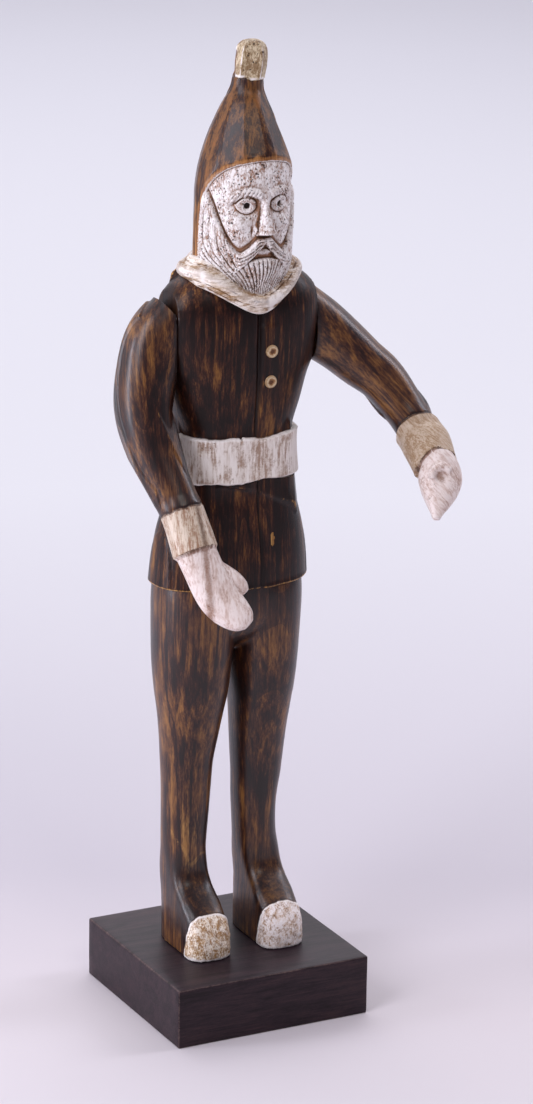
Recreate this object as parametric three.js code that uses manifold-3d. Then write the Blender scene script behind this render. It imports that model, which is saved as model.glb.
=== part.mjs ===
// A carved and painted wooden figure of a bearded man in a pointed hat, standing on a square block.
// Millimetres, +Z up. The figure faces -Y, and the origin is the middle of the block's underside.
import * as THREE from 'three';
import { mergeVertices } from 'three/addons/utils/BufferGeometryUtils.js';
import Module from 'manifold-3d';

const wasm = await Module();
wasm.setup();

// The block
const baseWidth = 127;
const baseDepth = 127;
const baseHeight = 37;
const baseEasing = 1.5;

// The figure from its soles to the tip of its hat, and the gap left where two pieces touch
const figureHeight = 551;
const seamGap = 0.3;

// The flat faces that the arms are set against
const shoulderSpan = 90;

// Steps carved into the surface
const beltHeight = 27;
const beltProud = 3.4;
const collarHeight = 12;
const collarProud = 4.5;
const hatRimStep = 1.8;
const cuffLength = 25;
const cuffProud = 1.4;
const toeCapLength = 14;
const toeCapProud = 0.9;
const grooveWidth = 1.8;
const grooveDepth = 1.3;

// Round pegs set into drilled holes for buttons, and the drilled eyes
const buttonDiameter = 8;
const buttonProud = 1.8;
const buttonDepth = 5;
const buttonDish = 0.7;
const buttonSpacing = 18.5;
const eyeDiameter = 3.4;
const eyeDepth = 3;

// The figure's pose and proportions are kept in thousandths of its height.
const share = figureHeight / 1000;
const soles = baseHeight + seamGap;
const degree = Math.PI / 180;

function smooth(value) {
  const held = THREE.MathUtils.clamp(value, 0, 1);
  return held * held * (3 - 2 * held);
}

function swell(offset, spread) {
  return Math.exp(-((offset / spread) ** 2));
}

function rows(from, to, count) {
  return Array.from({ length: count }, (unused, row) => from + ((to - from) * row) / count);
}

// Values from a table of stations on smooth curves. A station is its place, then its values.
function between(stations, place) {
  const last = stations.length - 1;
  const found = stations.findIndex((station) => station[0] > place);
  const upper = found < 0 ? last : Math.max(found, 1);
  const lower = upper - 1;
  const [a, b] = [stations[lower], stations[upper]];
  const before = stations[Math.max(lower - 1, 0)];
  const after = stations[Math.min(upper + 1, last)];
  const span = b[0] - a[0];
  const t = THREE.MathUtils.clamp((place - a[0]) / span, 0, 1);
  return a.slice(1).map((value, index) => {
    const next = b[index + 1];
    const slopeIn = (span * (next - before[index + 1])) / (b[0] - before[0]);
    const slopeOut = (span * (after[index + 1] - value)) / (after[0] - a[0]);
    const rise = t * t * (3 - 2 * t);
    return value + (next - value) * rise + slopeIn * t * (1 - t) ** 2 - slopeOut * t * t * (1 - t);
  });
}

// The reach of a rounded oblong from its middle, at a turn from the front towards the figure's left
function oblong(turn, halfWidth, halfDepth, squareness) {
  const across = Math.abs(Math.sin(turn) / halfWidth) ** squareness;
  const along = Math.abs(Math.cos(turn) / halfDepth) ** squareness;
  return (across + along) ** (-1 / squareness);
}

// Long knife flats: 1 on the ridges, less in the middle of each flat
function flats(turn, count, ridgeAt) {
  const step = (2 * Math.PI) / count;
  const away = THREE.MathUtils.euclideanModulo(turn - ridgeAt, step) - step / 2;
  return Math.cos(step / 2) / Math.cos(away);
}

// A closed skin around a line: one ring of points for each level, closed at both ends.
// place(level, turn, reach) gives a point, where reach is 1 on the skin and 0 on the line.
function skin(columns, levels, place) {
  const tube = new THREE.CylinderGeometry(1, 1, 1, columns, levels.length - 1);
  tube.deleteAttribute('normal');
  tube.deleteAttribute('uv');
  const geometry = mergeVertices(tube, 1e-5);
  const points = geometry.getAttribute('position');
  for (let index = 0; index < points.count; index += 1) {
    const [x, y, z] = [points.getX(index), points.getY(index), points.getZ(index)];
    const level = levels[Math.round((y + 0.5) * (levels.length - 1))];
    const reach = Math.round(Math.hypot(x, z));
    points.setXYZ(index, ...place(level, Math.atan2(x, z), reach).toArray());
  }
  return geometry;
}

function toSolid(geometry) {
  const plain = geometry.clone();
  plain.deleteAttribute('normal');
  plain.deleteAttribute('uv');
  const merged = mergeVertices(plain, 1e-5);
  const vertProperties = new Float32Array(merged.getAttribute('position').array);
  const triVerts = new Uint32Array(merged.getIndex().array);
  return new wasm.Manifold(new wasm.Mesh({ numProp: 3, vertProperties, triVerts }));
}

function toGeometry(solid) {
  const mesh = solid.getMesh();
  const geometry = new THREE.BufferGeometry();
  geometry.setAttribute('position', new THREE.BufferAttribute(new Float32Array(mesh.vertProperties), 3));
  geometry.setIndex(new THREE.BufferAttribute(new Uint32Array(mesh.triVerts), 1));
  return geometry;
}

function block(width, depth, height, x, y, z) {
  return toSolid(new THREE.BoxGeometry(width, depth, height).translate(x, y, z));
}

// Trunk, from the skirt's hem to the neck inside the collar.
// Stations: height, how far the middle is set back, half width, half depth
const trunkStations = [
  [416, 9.8, 88.4, 58.1],
  [442, 8.7, 86.2, 57.2],
  [470, 7.6, 82.4, 54.4],
  [497, 6.2, 75.3, 50.8],
  [517, 5.1, 69, 47.7],
  [537, 4, 67.2, 46.3],
  [558, 2.7, 65.2, 45],
  [582, 1.1, 64.6, 44.5],
  [615, -0.9, 73.5, 46.3],
  [642, -2.4, 80.2, 48.1],
  [658, -3.3, 86, 49],
  [695, -5.1, 90.7, 49.5],
  [720, -6.4, 91.5, 47.2],
  [733, -7.1, 88.5, 43.6],
  [746, -7.8, 78.5, 39],
  [760, -8.5, 59.9, 35.4],
  [769, -9.1, 50.8, 32.7],
];
const trunkSquareness = 2.4;
const hemRise = 416 * share;
const beltRise = 534 * share;
const neckRise = 768 * share;

function trunkPoint(rise, turn, reach, proud) {
  const [back, halfWidth, halfDepth] = between(trunkStations, rise / share).map((value) => value * share);
  const radius = reach * (oblong(turn, halfWidth, halfDepth, trunkSquareness) + proud);
  return new THREE.Vector3(radius * Math.sin(turn), back - radius * Math.cos(turn), soles + rise);
}

// The belt's edges wander a little, as a knife leaves them.
function beltWave(turn) {
  return 0.7 * Math.sin(2 * turn + 0.8) + 0.5 * Math.sin(5 * turn);
}

function makeTrunk() {
  const beltEdge = 0.8;
  const beltTop = beltRise + beltHeight;
  const levels = [
    ...rows(hemRise, beltRise - 2, 5).map((rise) => ({ rise, proud: 0, wave: 0 })),
    { rise: beltRise, proud: 0, wave: 1 },
    { rise: beltRise + beltEdge, proud: beltProud, wave: 1 },
    { rise: beltRise + beltHeight / 2, proud: beltProud * 0.94, wave: 0 },
    { rise: beltTop - beltEdge, proud: beltProud, wave: -1 },
    { rise: beltTop, proud: 0, wave: -1 },
    ...rows(beltTop + 4, neckRise, 10).map((rise) => ({ rise, proud: 0, wave: 0 })),
    { rise: neckRise, proud: 0, wave: 0 },
  ];
  return skin(24, levels, ({ rise, proud, wave }, turn, reach) =>
    trunkPoint(rise + wave * beltWave(turn), turn, reach, proud));
}

// Legs with their feet, from the soles to inside the skirt.
// Stations: height, sideways and backwards place of the middle, half width, half depth
const rightLegStations = [
  [0, -43.6, -2.4, 24.4, 53],
  [12, -43.6, -3, 24.4, 53.6],
  [24, -43.6, -2.5, 24.4, 53.1],
  [35, -43.7, -0.9, 24.2, 51.5],
  [44, -43.8, 2.1, 24, 48.6],
  [51, -43.9, 5.4, 23.7, 45.4],
  [58, -44, 10, 23.4, 40.8],
  [65, -44.2, 14.8, 23.1, 36],
  [73, -44.3, 19, 22.9, 31.8],
  [83, -44.5, 21.6, 22.7, 29.2],
  [98, -44.5, 22, 23.2, 27.8],
  [126, -44.3, 20.9, 24.7, 27.2],
  [155, -43.6, 20, 25.8, 28.1],
  [183, -43.2, 19.1, 26.9, 29],
  [210, -43.2, 18.1, 28.3, 31.2],
  [238, -42.1, 16.3, 31.4, 34.5],
  [266, -41.4, 14.5, 35, 39],
  [293, -41.4, 12.7, 39, 44.5],
  [321, -41.6, 11.8, 41.4, 48.1],
  [348, -41.2, 10.9, 42.8, 50.6],
  [402, -41, 10, 43.3, 51.5],
  [433, -41, 10, 41, 46],
];
const leftLegStations = [
  [0, 44.9, -2.4, 24.8, 53],
  [12, 44.9, -3, 24.8, 53.6],
  [24, 44.9, -2.5, 24.7, 53.1],
  [35, 45, -0.9, 24.4, 51.5],
  [44, 45.1, 2.1, 24, 48.6],
  [51, 45.2, 5.4, 23.7, 45.4],
  [58, 45.5, 10, 23.1, 40.8],
  [65, 45.4, 14.8, 22.9, 36],
  [73, 45.2, 19, 22.7, 31.8],
  [83, 44.6, 21.6, 22.9, 29.2],
  [98, 43.6, 22, 23.4, 27.8],
  [126, 41.2, 20.9, 23.2, 27.2],
  [155, 40.3, 20, 24.3, 28.1],
  [183, 41.9, 19.1, 26.9, 29],
  [210, 42.1, 18.1, 28.9, 31.2],
  [238, 42.1, 16.3, 30.7, 34.5],
  [266, 42.5, 14.5, 32.8, 39],
  [293, 42.1, 12.7, 35.6, 44.5],
  [321, 41.7, 11.8, 37.9, 48.1],
  [348, 41, 10.9, 39.4, 50.6],
  [402, 40.5, 10, 41.7, 51.5],
  [433, 40.5, 10, 39, 46],
];
const legSquareness = 2.1;
const toeSquareness = 3;
const heelSquareness = 2.6;
const instep = 75;
const toeCapTilt = 12 * degree;

function power(value, exponent) {
  return Math.sign(value) * Math.abs(value) ** exponent;
}

function makeLeg(stations, proud) {
  return skin(12, stations, ([height, x, back, width, depth], turn, reach) => {
    const inFoot = 1 - smooth((height - instep) / 40);
    const inToes = Math.cos(turn) > 0 ? inFoot : 0;
    const footSquareness = Math.cos(turn) > 0 ? toeSquareness : heelSquareness;
    const exponent = 2 / THREE.MathUtils.lerp(legSquareness, footSquareness, inFoot);
    const [halfWidth, halfDepth] = [width * share + proud, depth * share + proud];
    const straight = inToes * (halfDepth - halfWidth);
    const ahead = power(Math.cos(turn), exponent);
    const forward = (halfDepth - straight) * ahead + straight * Math.min(4 * ahead, 1);
    const sideways = halfWidth * power(Math.sin(turn), exponent);
    return new THREE.Vector3(
      x * share + reach * sideways,
      back * share - reach * forward,
      soles + height * share,
    );
  });
}

// The seat of the trousers, which joins the legs. Stations: height, half width, half depth
const seatStations = [
  [338, 18, 16],
  [352, 42, 34],
  [368, 68, 46],
  [388, 80, 50.5],
  [433, 80, 47],
];

function makeSeat() {
  return skin(20, seatStations, ([height, width, depth], turn, reach) => {
    const radius = reach * oblong(turn, width * share, depth * share, 2.4);
    return new THREE.Vector3(
      radius * Math.sin(turn),
      10 * share - radius * Math.cos(turn),
      soles + height * share,
    );
  });
}

// A cap over the toes, a little proud of the foot
function makeToeCap(stations) {
  const low = stations.filter(([height]) => height <= instep);
  const [, x, back, , depth] = stations[0];
  const toe = (back - depth) * share - toeCapProud;
  const cutSize = 60 * share;
  const cap = new THREE.BoxGeometry(cutSize, cutSize, cutSize * 2);
  cap.translate(0, -cutSize / 2, 0).rotateX(toeCapTilt);
  cap.translate(x * share, toe + toeCapLength, soles);
  return toSolid(makeLeg(low, toeCapProud)).intersect(toSolid(cap));
}

// Head: one skin for the hat with its bobble and one for the face and beard, as ovals round a leaning line.
// Stations: height, how far the middle is to the left and set back, half width, half depth
const headStations = [
  [700, 0, -9.1, 50.8, 43.6],
  [742, 0, -9.4, 51.7, 49],
  [773, 0, -11.6, 51.9, 53.5],
  [798, 0, -12.9, 52.1, 54.4],
  [823, 0.4, -13.8, 52.1, 54.4],
  [849, 1.2, -14.5, 52, 54.2],
  [874, 1.7, -14.9, 48.3, 50.2],
  [900, 1.5, -14.5, 40, 41.5],
  [925, 0.8, -14.8, 29.2, 29.6],
  [938, 1, -14.8, 22.8, 22.9],
  [950, 2.8, -14.4, 17.2, 16.6],
  [963, 5.2, -14.2, 16.5, 16],
  [976, 7.2, -13.6, 17, 16.5],
  [988, 8.8, -12.8, 15.6, 15.4],
  [996, 9.4, -12.6, 12.2, 12.2],
  [1000, 9.6, -12.6, 8, 8],
];
const neckStart = 732 * share;
const bobbleRise = 952 * share;
const bobbleProud = 0.7;
const hatFlats = 9;
const hatColumns = 27;
const hatRidge = 360 / hatColumns * degree;

// The face opening is an arch: half its width in turns round the head, its springing and its top.
const archTurn = 85 * degree;
const archSpring = 785 * share;
const archTop = 891.5 * share;

// The face is laid out in equal thirds from hairline to chin, and in fifths of the head's width.
const hairline = 890 * share;
const chin = 763 * share;
const third = (hairline - chin) / 3;
const fifth = 20.8 * share;
const browRise = hairline - third;
const noseRise = browRise - third;
const eyeRise = browRise - 0.28 * third;
const mouthRise = noseRise - third / 3;
const beardTip = 741 * share;

// The collar dips towards the front.
const collarFront = 723 * share;
const collarLift = 28 * share;
const collarStations = { back: -9.1 * share, halfWidth: 57.5 * share, halfDepth: 49.5 * share };

function collarLow(turn) {
  return collarFront + collarLift * smooth(Math.abs(turn) / (70 * degree));
}

// Where the beard starts under the lip and cheeks
function beardEdge(across) {
  const f = Math.abs(across) / fifth;
  return mouthRise - third * (0.14 - 0.62 * smooth((f - 0.45) / 1.3));
}

// The carving of the face, outwards from the head's oval: across is the sideways place, rise the height
function faceRelief(across, rise) {
  const side = Math.abs(across);
  const f = side / fifth;
  const browLine = browRise + third * (0.1 - 0.24 * (f - 0.95) ** 2);
  const brow = 1.3 * swell(rise - browLine, 0.1 * third) * smooth((1.95 - f) * 3);
  const socket = -2.5 * swell(f - 1, 0.6) * swell(rise - eyeRise, 0.2 * third);
  const eyeball = 1.6 * swell(f - 1, 0.36) * swell(rise - eyeRise, 0.12 * third);
  const down = THREE.MathUtils.clamp((browRise - 0.12 * third - rise) / (0.88 * third), 0, 1);
  const noseHalf = fifth * (0.24 + 0.26 * down * down);
  const noseEnd = smooth((rise - noseRise + 0.05 * third) / (0.12 * third));
  const noseHeight = (1 + 6 * down ** 1.2) * noseEnd * smooth((browRise + 0.1 * third - rise) / (0.3 * third));
  const nose = noseHeight * Math.max(0, 1 - (side / noseHalf) ** 2) ** 0.7;
  const wing = 1.3 * swell(f - 0.42, 0.17) * swell(rise - noseRise - 0.09 * third, 0.09 * third);
  const cheek = 1.5 * swell(f - 1.35, 0.6) * swell(rise - noseRise - 0.25 * third, 0.28 * third);
  const whiskerLine = noseRise - third * (0.17 + 0.06 * f + 0.07 * f * f);
  const whiskerHalf = third * (0.08 + 0.1 * Math.max(0, 1 - f / 1.9));
  const whisker = 2.4 * swell(rise - whiskerLine, whiskerHalf) * smooth((1.9 - f) * 3) * (1 - 0.5 * swell(f, 0.12));
  const lip = 1.2 * swell(f, 0.42) * swell(rise - mouthRise + 0.13 * third, 0.07 * third);
  const mouth = -1.2 * swell(f, 0.6) * swell(rise - mouthRise, 0.045 * third);
  return brow + socket + eyeball + nose + wing + cheek + whisker + lip + mouth;
}

// The beard: a raised mass under the cheeks, cut into locks that run together at its tip
function beardRelief(across, rise) {
  const mass = smooth((beardEdge(across) - rise) / (0.3 * third));
  const height = rise - beardTip + 0.45 * third;
  const fan = Math.atan2(across, height) / (15 * degree);
  const groove = 0.5 - 0.5 * Math.cos(2 * Math.PI * (fan + 0.5));
  const depth = 0.9 * THREE.MathUtils.clamp(height / third - 0.2, 0, 1);
  return mass * (2.1 - depth * groove);
}

function onHead(rise, turn, radius) {
  const [sideways, back] = between(headStations, rise / share).map((value) => value * share);
  return new THREE.Vector3(sideways + radius * Math.sin(turn), back - radius * Math.cos(turn), soles + rise);
}

function headOval(rise, turn) {
  const [, , halfWidth, halfDepth] = between(headStations, rise / share).map((value) => value * share);
  return oblong(turn, halfWidth, halfDepth, 2);
}

function facePoint(rise, turn, reach) {
  const oval = headOval(rise, turn);
  const across = oval * Math.sin(turn);
  const front = smooth((archTurn - Math.abs(turn)) / (18 * degree));
  const relief = front * (faceRelief(across, rise) + beardRelief(across, rise));
  return onHead(rise, turn, reach * (oval - hatRimStep + relief));
}

function makeFace() {
  const frontShare = 0.8;
  const levels = [...rows(neckStart, archTop + 4, 30), archTop + 4];
  return skin(52, levels, (rise, evenTurn, reach) => {
    const even = Math.abs(evenTurn) / Math.PI;
    const quarter = Math.PI / 2;
    const folded = even < frontShare
      ? (quarter * even) / frontShare
      : quarter * (1 + (even - frontShare) / (1 - frontShare));
    return facePoint(rise, Math.sign(evenTurn) * folded, reach);
  });
}

function makeHat() {
  const top = 1000 * share;
  const levels = [
    ...rows(neckStart, bobbleRise, 12).map((rise) => ({ rise, lifted: 0 })),
    { rise: bobbleRise, lifted: 0 },
    { rise: bobbleRise + 1, lifted: bobbleProud },
    ...rows(962 * share, 996 * share, 3).map((rise) => ({ rise, lifted: bobbleProud })),
    { rise: 996 * share, lifted: 0 },
    { rise: top, lifted: 0 },
  ];
  return skin(hatColumns, levels, ({ rise, lifted }, turn, reach) => {
    const flattened = smooth((rise - archTop - 2 * share) / (40 * share)) * smooth((bobbleRise - rise) / (14 * share));
    const shape = 1 + (flats(turn, hatFlats, hatRidge) * 1.012 - 1) * flattened;
    return onHead(rise, turn, reach * (headOval(rise, turn) * shape + lifted));
  });
}

// The hat's opening: an arch cut in towards the head's middle line
function makeOpening() {
  const depths = [14, 46];
  return skin(56, depths, (radius, angle, reach) => {
    const up = -Math.cos(angle);
    const exponent = up > 0 ? 2 / 2.1 : 2 / 9;
    const reachUp = up > 0 ? archTop - archSpring : archSpring - neckStart + 4;
    const turn = reach * archTurn * power(Math.sin(angle), exponent);
    return onHead(archSpring + reach * reachUp * power(up, exponent), turn, radius);
  });
}

function makeCollar() {
  const profile = [
    [-0.7, -4],
    [0, -1],
    [0.1, collarProud * 0.8],
    [0.32, collarProud],
    [0.68, collarProud * 0.45],
    [1, -collarProud * 0.35],
  ];
  const { back, halfWidth, halfDepth } = collarStations;
  return skin(32, profile, ([up, outward], turn, reach) => {
    const rise = collarLow(turn) + up * collarHeight;
    const radius = reach * (oblong(turn, halfWidth, halfDepth, 2) + outward);
    return new THREE.Vector3(radius * Math.sin(turn), back - radius * Math.cos(turn), soles + rise);
  });
}

// A shallow V cut that follows the trunk's front, from one height to another
function frontGroove(from, to, acrossLow, acrossHigh) {
  const count = 12;
  const levels = [...rows(from, to, count), to];
  return toSolid(skin(4, levels, (rise, turn, reach) => {
    const x = THREE.MathUtils.mapLinear(rise, from, to, acrossLow, acrossHigh);
    const faceTurn = Math.asin(x / (60 * share));
    const face = trunkPoint(rise, faceTurn, 1, 0);
    const wide = (grooveWidth / 2) * Math.sin(turn);
    const deep = -grooveDepth * Math.cos(turn);
    return new THREE.Vector3(face.x + reach * wide, face.y + reach * deep, face.z);
  }));
}

// Where the buttons sit on the jacket: beside the front opening
const buttonAcross = 19 * share;
const upperButtonRise = 675 * share;

function buttonSeat(rise) {
  return trunkPoint(rise, Math.asin(buttonAcross / (52 * share)), 1, 0);
}

function makeButton() {
  const radius = buttonDiameter / 2;
  const profile = [
    new THREE.Vector2(0, -buttonDepth),
    new THREE.Vector2(radius, -buttonDepth),
    new THREE.Vector2(radius, buttonProud - 0.8),
    new THREE.Vector2(radius - 0.8, buttonProud),
    new THREE.Vector2(radius * 0.55, buttonProud),
    new THREE.Vector2(radius * 0.35, buttonProud - buttonDish),
    new THREE.Vector2(0, buttonProud - buttonDish),
  ];
  return new THREE.LatheGeometry(profile, 12).rotateX(Math.PI);
}

function makeBody() {
  const trunk = toSolid(makeTrunk());
  const rightLeg = toSolid(makeLeg(rightLegStations, 0)).add(makeToeCap(rightLegStations));
  const leftLeg = toSolid(makeLeg(leftLegStations, 0)).add(makeToeCap(leftLegStations));
  const hat = toSolid(makeHat()).subtract(toSolid(makeOpening()));
  const head = hat.add(toSolid(makeFace())).add(toSolid(makeCollar()));
  const figure = trunk.add(rightLeg).add(leftLeg).add(toSolid(makeSeat())).add(head);
  const faceFrom = 635 * share;
  const faceTo = 760 * share;
  const cutWidth = 40 * share;
  const cheekX = shoulderSpan / 2 + cutWidth / 2;
  const cutHeight = faceTo - faceFrom;
  const cutMiddle = soles + (faceFrom + faceTo) / 2;
  const beltTop = beltRise + beltHeight;
  let carved = figure
    .subtract(block(cutWidth, 120 * share, cutHeight, cheekX, 0, cutMiddle))
    .subtract(block(cutWidth, 120 * share, cutHeight, -cheekX, 0, cutMiddle))
    .subtract(frontGroove(beltTop, collarFront + 4, 2, 3))
    .subtract(frontGroove(hemRise - 1, beltRise, 7.5, 4.5));
  for (const eyeSide of [-1, 1]) {
    const turn = Math.asin(fifth / (52 * share)) * eyeSide;
    const eye = facePoint(eyeRise, turn, 1);
    const drill = new THREE.CylinderGeometry(eyeDiameter / 2, eyeDiameter / 2, eyeDepth + 2, 10);
    drill.translate(eye.x, eye.y + eyeDepth / 2 - 1, eye.z);
    carved = carved.subtract(toSolid(drill));
  }
  for (const drop of [0, buttonSpacing]) {
    const seat = buttonSeat(upperButtonRise - drop);
    const hole = new THREE.CylinderGeometry(0.5, 0.5, 1, 16);
    const width = buttonDiameter + 2 * seamGap;
    const length = 2 * (buttonDepth + seamGap);
    hole.scale(width, length, width).translate(seat.x, seat.y, seat.z);
    carved = carved.subtract(toSolid(hole));
  }
  return toGeometry(carved);
}

// A limb's skin around a curve. Stations: place along the curve, half width, half depth
function sweep(curve, columns, levels, guide, section) {
  return skin(columns, levels, (level, turn, reach) => {
    const centre = curve.getPoint(level.along);
    const ahead = curve.getTangent(level.along);
    const side = new THREE.Vector3().crossVectors(ahead, guide).normalize();
    const outward = new THREE.Vector3().crossVectors(side, ahead).normalize();
    const [halfWidth, halfDepth] = section(level);
    const radius = reach * oblong(turn, halfWidth, halfDepth, 2.2);
    return centre.addScaledVector(side, radius * Math.sin(turn)).addScaledVector(outward, radius * Math.cos(turn));
  });
}

function place([x, y, height]) {
  return new THREE.Vector3(x * share, y * share, soles + height * share);
}

// The arms: points along the sleeve to the cuff's end, then the mitten's knuckles and tip, and its thumb
const rightArm = {
  side: -1,
  sleeve: [
    [-69, -5.4, 705],
    [-90.7, -5.4, 687],
    [-105, -8.2, 655],
    [-111, -12.7, 617],
    [-109.5, -27.2, 575],
    [-96, -59.9, 518],
    [-84, -81.7, 477],
  ],
  sleeveStations: [
    [0, 41, 26.5],
    [1, 37.5, 27],
    [2, 32.5, 29.5],
    [3, 29.5, 31.5],
    [4, 27, 28.5],
    [5, 22.7, 23.3],
    [6, 22.4, 22.5],
  ],
  knuckles: [-67, -106, 430],
  mittenTip: [-44.5, -131, 406],
  mittenAcross: [0.773, -0.195, 0.6],
  thumbRoot: [-67, -92, 463],
  thumbTip: [-36.5, -110, 436],
};
const leftArm = {
  side: 1,
  sleeve: [
    [69, -5.4, 699],
    [94.4, -7.3, 685],
    [118, -10.9, 667],
    [140.5, -20, 646],
    [161, -32.7, 627],
    [190, -68, 574.5],
    [186.1, -107, 548],
  ],
  sleeveStations: [
    [0, 40, 26.5],
    [1, 35, 27.5],
    [2, 31.5, 29.5],
    [3, 29, 29],
    [4, 27, 27],
    [5, 22.9, 22.9],
    [6, 23.6, 23.6],
  ],
  knuckles: [176.4, -132.2, 531],
  mittenTip: [159, -160.5, 504],
  mittenAcross: [0.887, -0.461, 0],
  thumbRoot: [176, -121, 546],
  thumbTip: [186, -132, 543],
};

// Mitten stations: share of its length, half width, half thickness
const mittenStations = [
  [0, 18, 14],
  [0.2, 21, 15],
  [0.5, 22.5, 14],
  [0.75, 19.5, 12],
  [0.92, 14, 9],
  [1, 6.5, 5],
];

function makeArm(arm) {
  const points = arm.sleeve.map(place);
  const sleeveCurve = new THREE.CatmullRomCurve3(points, false, 'centripetal');
  const spans = points.length - 1;
  const cuffEnd = points[spans];
  const cuffStart = sleeveCurve.getUtoTmapping(0, sleeveCurve.getLength() - cuffLength);
  const section = ({ along, proud }) =>
    between(arm.sleeveStations, along * spans).map((value) => value * share + proud);
  const levels = [
    ...rows(0, cuffStart, 13).map((along) => ({ along, proud: 0 })),
    { along: cuffStart, proud: 0 },
    { along: cuffStart + 0.004, proud: cuffProud },
    { along: (cuffStart + 1) / 2, proud: cuffProud * 1.1 },
    { along: 1, proud: cuffProud * 1.5 },
  ];
  const guide = new THREE.Vector3(0, 1, 0);
  const sleeve = toSolid(sweep(sleeveCurve, 12, levels, guide, section));

  const tip = place(arm.mittenTip);
  const root = cuffEnd.clone().lerp(points[spans - 1], 0.2);
  const mittenAcross = new THREE.Vector3(...arm.mittenAcross);
  const palmNormal = new THREE.Vector3().crossVectors(tip.clone().sub(root), mittenAcross).normalize();
  const palmLevels = [...rows(0, 1, 9), 1].map((along) => ({ along }));
  const palmSection = ({ along }) => between(mittenStations, along).map((value) => value * share);
  const palmCurve = new THREE.CatmullRomCurve3([root, place(arm.knuckles), tip], false, 'centripetal');
  const palm = toSolid(sweep(palmCurve, 12, palmLevels, palmNormal, palmSection));

  const thumbCurve = new THREE.LineCurve3(place(arm.thumbRoot), place(arm.thumbTip));
  const thumbStations = [[0, 10, 9], [0.4, 10.5, 9], [0.8, 9, 7.5], [1, 4, 3.5]];
  const thumbSection = ({ along }) => between(thumbStations, along).map((value) => value * share);
  const thumbLevels = [...rows(0, 1, 5), 1].map((along) => ({ along }));
  const thumb = toSolid(sweep(thumbCurve, 8, thumbLevels, palmNormal, thumbSection));

  const faceFrom = 606 * share;
  const faceTo = 780 * share;
  const cutWidth = shoulderSpan / 2 + seamGap;
  const cutX = (arm.side * cutWidth) / 2;
  const cutMiddle = soles + (faceFrom + faceTo) / 2;
  const inside = block(cutWidth, 160 * share, faceTo - faceFrom, cutX, 0, cutMiddle);
  return toGeometry(sleeve.add(palm).add(thumb).subtract(inside));
}

function makeBase() {
  const outline = new THREE.Shape();
  const halfWidth = baseWidth / 2 - baseEasing;
  const halfDepth = baseDepth / 2 - baseEasing;
  outline.moveTo(-halfWidth, -halfDepth);
  outline.lineTo(halfWidth, -halfDepth);
  outline.lineTo(halfWidth, halfDepth);
  outline.lineTo(-halfWidth, halfDepth);
  outline.closePath();
  const slab = new THREE.ExtrudeGeometry(outline, {
    depth: baseHeight - 2 * baseEasing,
    bevelEnabled: true,
    bevelSize: baseEasing,
    bevelThickness: baseEasing,
    bevelSegments: 2,
  });
  return slab.translate(0, 0, baseEasing);
}

const stainedWood = new THREE.MeshStandardMaterial({ color: '#3a2318', roughness: 0.5, metalness: 0 });
const baseWood = new THREE.MeshStandardMaterial({ color: '#2c2226', roughness: 0.55, metalness: 0 });
const creamPaint = new THREE.MeshStandardMaterial({ color: '#d8c7ad', roughness: 0.7, metalness: 0 });

function piece(name, geometry, material) {
  const flat = geometry.index ? geometry.toNonIndexed() : geometry;
  flat.computeVertexNormals();
  const mesh = new THREE.Mesh(flat, material.clone());
  mesh.name = name;
  return mesh;
}

const figure = new THREE.Group();
figure.add(piece('base_block', makeBase(), baseWood));
figure.add(piece('body', makeBody(), stainedWood));
figure.add(piece('right_arm', makeArm(rightArm), stainedWood));
figure.add(piece('left_arm', makeArm(leftArm), stainedWood));
['upper_button', 'lower_button'].forEach((name, index) => {
  const button = piece(name, makeButton(), creamPaint);
  button.position.copy(buttonSeat(upperButtonRise - index * buttonSpacing));
  figure.add(button);
});

export default figure;
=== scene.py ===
import math

import bmesh
import bpy
import numpy as np
from mathutils import Matrix, Vector


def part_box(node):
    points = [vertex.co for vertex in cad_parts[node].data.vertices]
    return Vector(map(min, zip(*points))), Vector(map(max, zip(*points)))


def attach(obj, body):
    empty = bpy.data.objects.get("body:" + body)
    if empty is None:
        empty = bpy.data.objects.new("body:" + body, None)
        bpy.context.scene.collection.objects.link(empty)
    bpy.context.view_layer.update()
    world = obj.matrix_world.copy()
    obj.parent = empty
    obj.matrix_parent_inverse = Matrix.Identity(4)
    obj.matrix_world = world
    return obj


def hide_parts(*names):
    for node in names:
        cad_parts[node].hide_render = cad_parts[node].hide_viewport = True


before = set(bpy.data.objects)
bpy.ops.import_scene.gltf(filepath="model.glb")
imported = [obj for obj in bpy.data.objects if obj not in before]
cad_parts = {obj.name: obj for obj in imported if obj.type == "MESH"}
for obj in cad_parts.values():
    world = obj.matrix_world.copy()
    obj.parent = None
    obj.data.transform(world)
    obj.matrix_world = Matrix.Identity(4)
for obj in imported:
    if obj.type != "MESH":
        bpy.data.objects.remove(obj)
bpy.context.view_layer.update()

millimetre = 0.001
degree = math.pi / 180
figure = {"height": 551.0, "soles": 37.3}  # the soles' height is over the floor
share = figure["height"] / 1000
soles = figure["soles"]


def smooth(value):
    held = np.clip(value, 0, 1)
    return held * held * (3 - 2 * held)


def swell(offset, spread):
    return np.exp(-((offset / spread) ** 2))


def plateau(offset, half, edge):
    # 1 within half of the middle, sloping to 0 over the edge
    return smooth((half + edge - np.abs(offset)) / edge)


def power(value, exponent):
    return np.sign(value) * np.abs(value) ** exponent


def groove(phase, width):
    # a V-shaped cut at every whole number
    return np.maximum(0, 1 - np.abs(np.sin(phase * math.pi)) / width)


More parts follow.
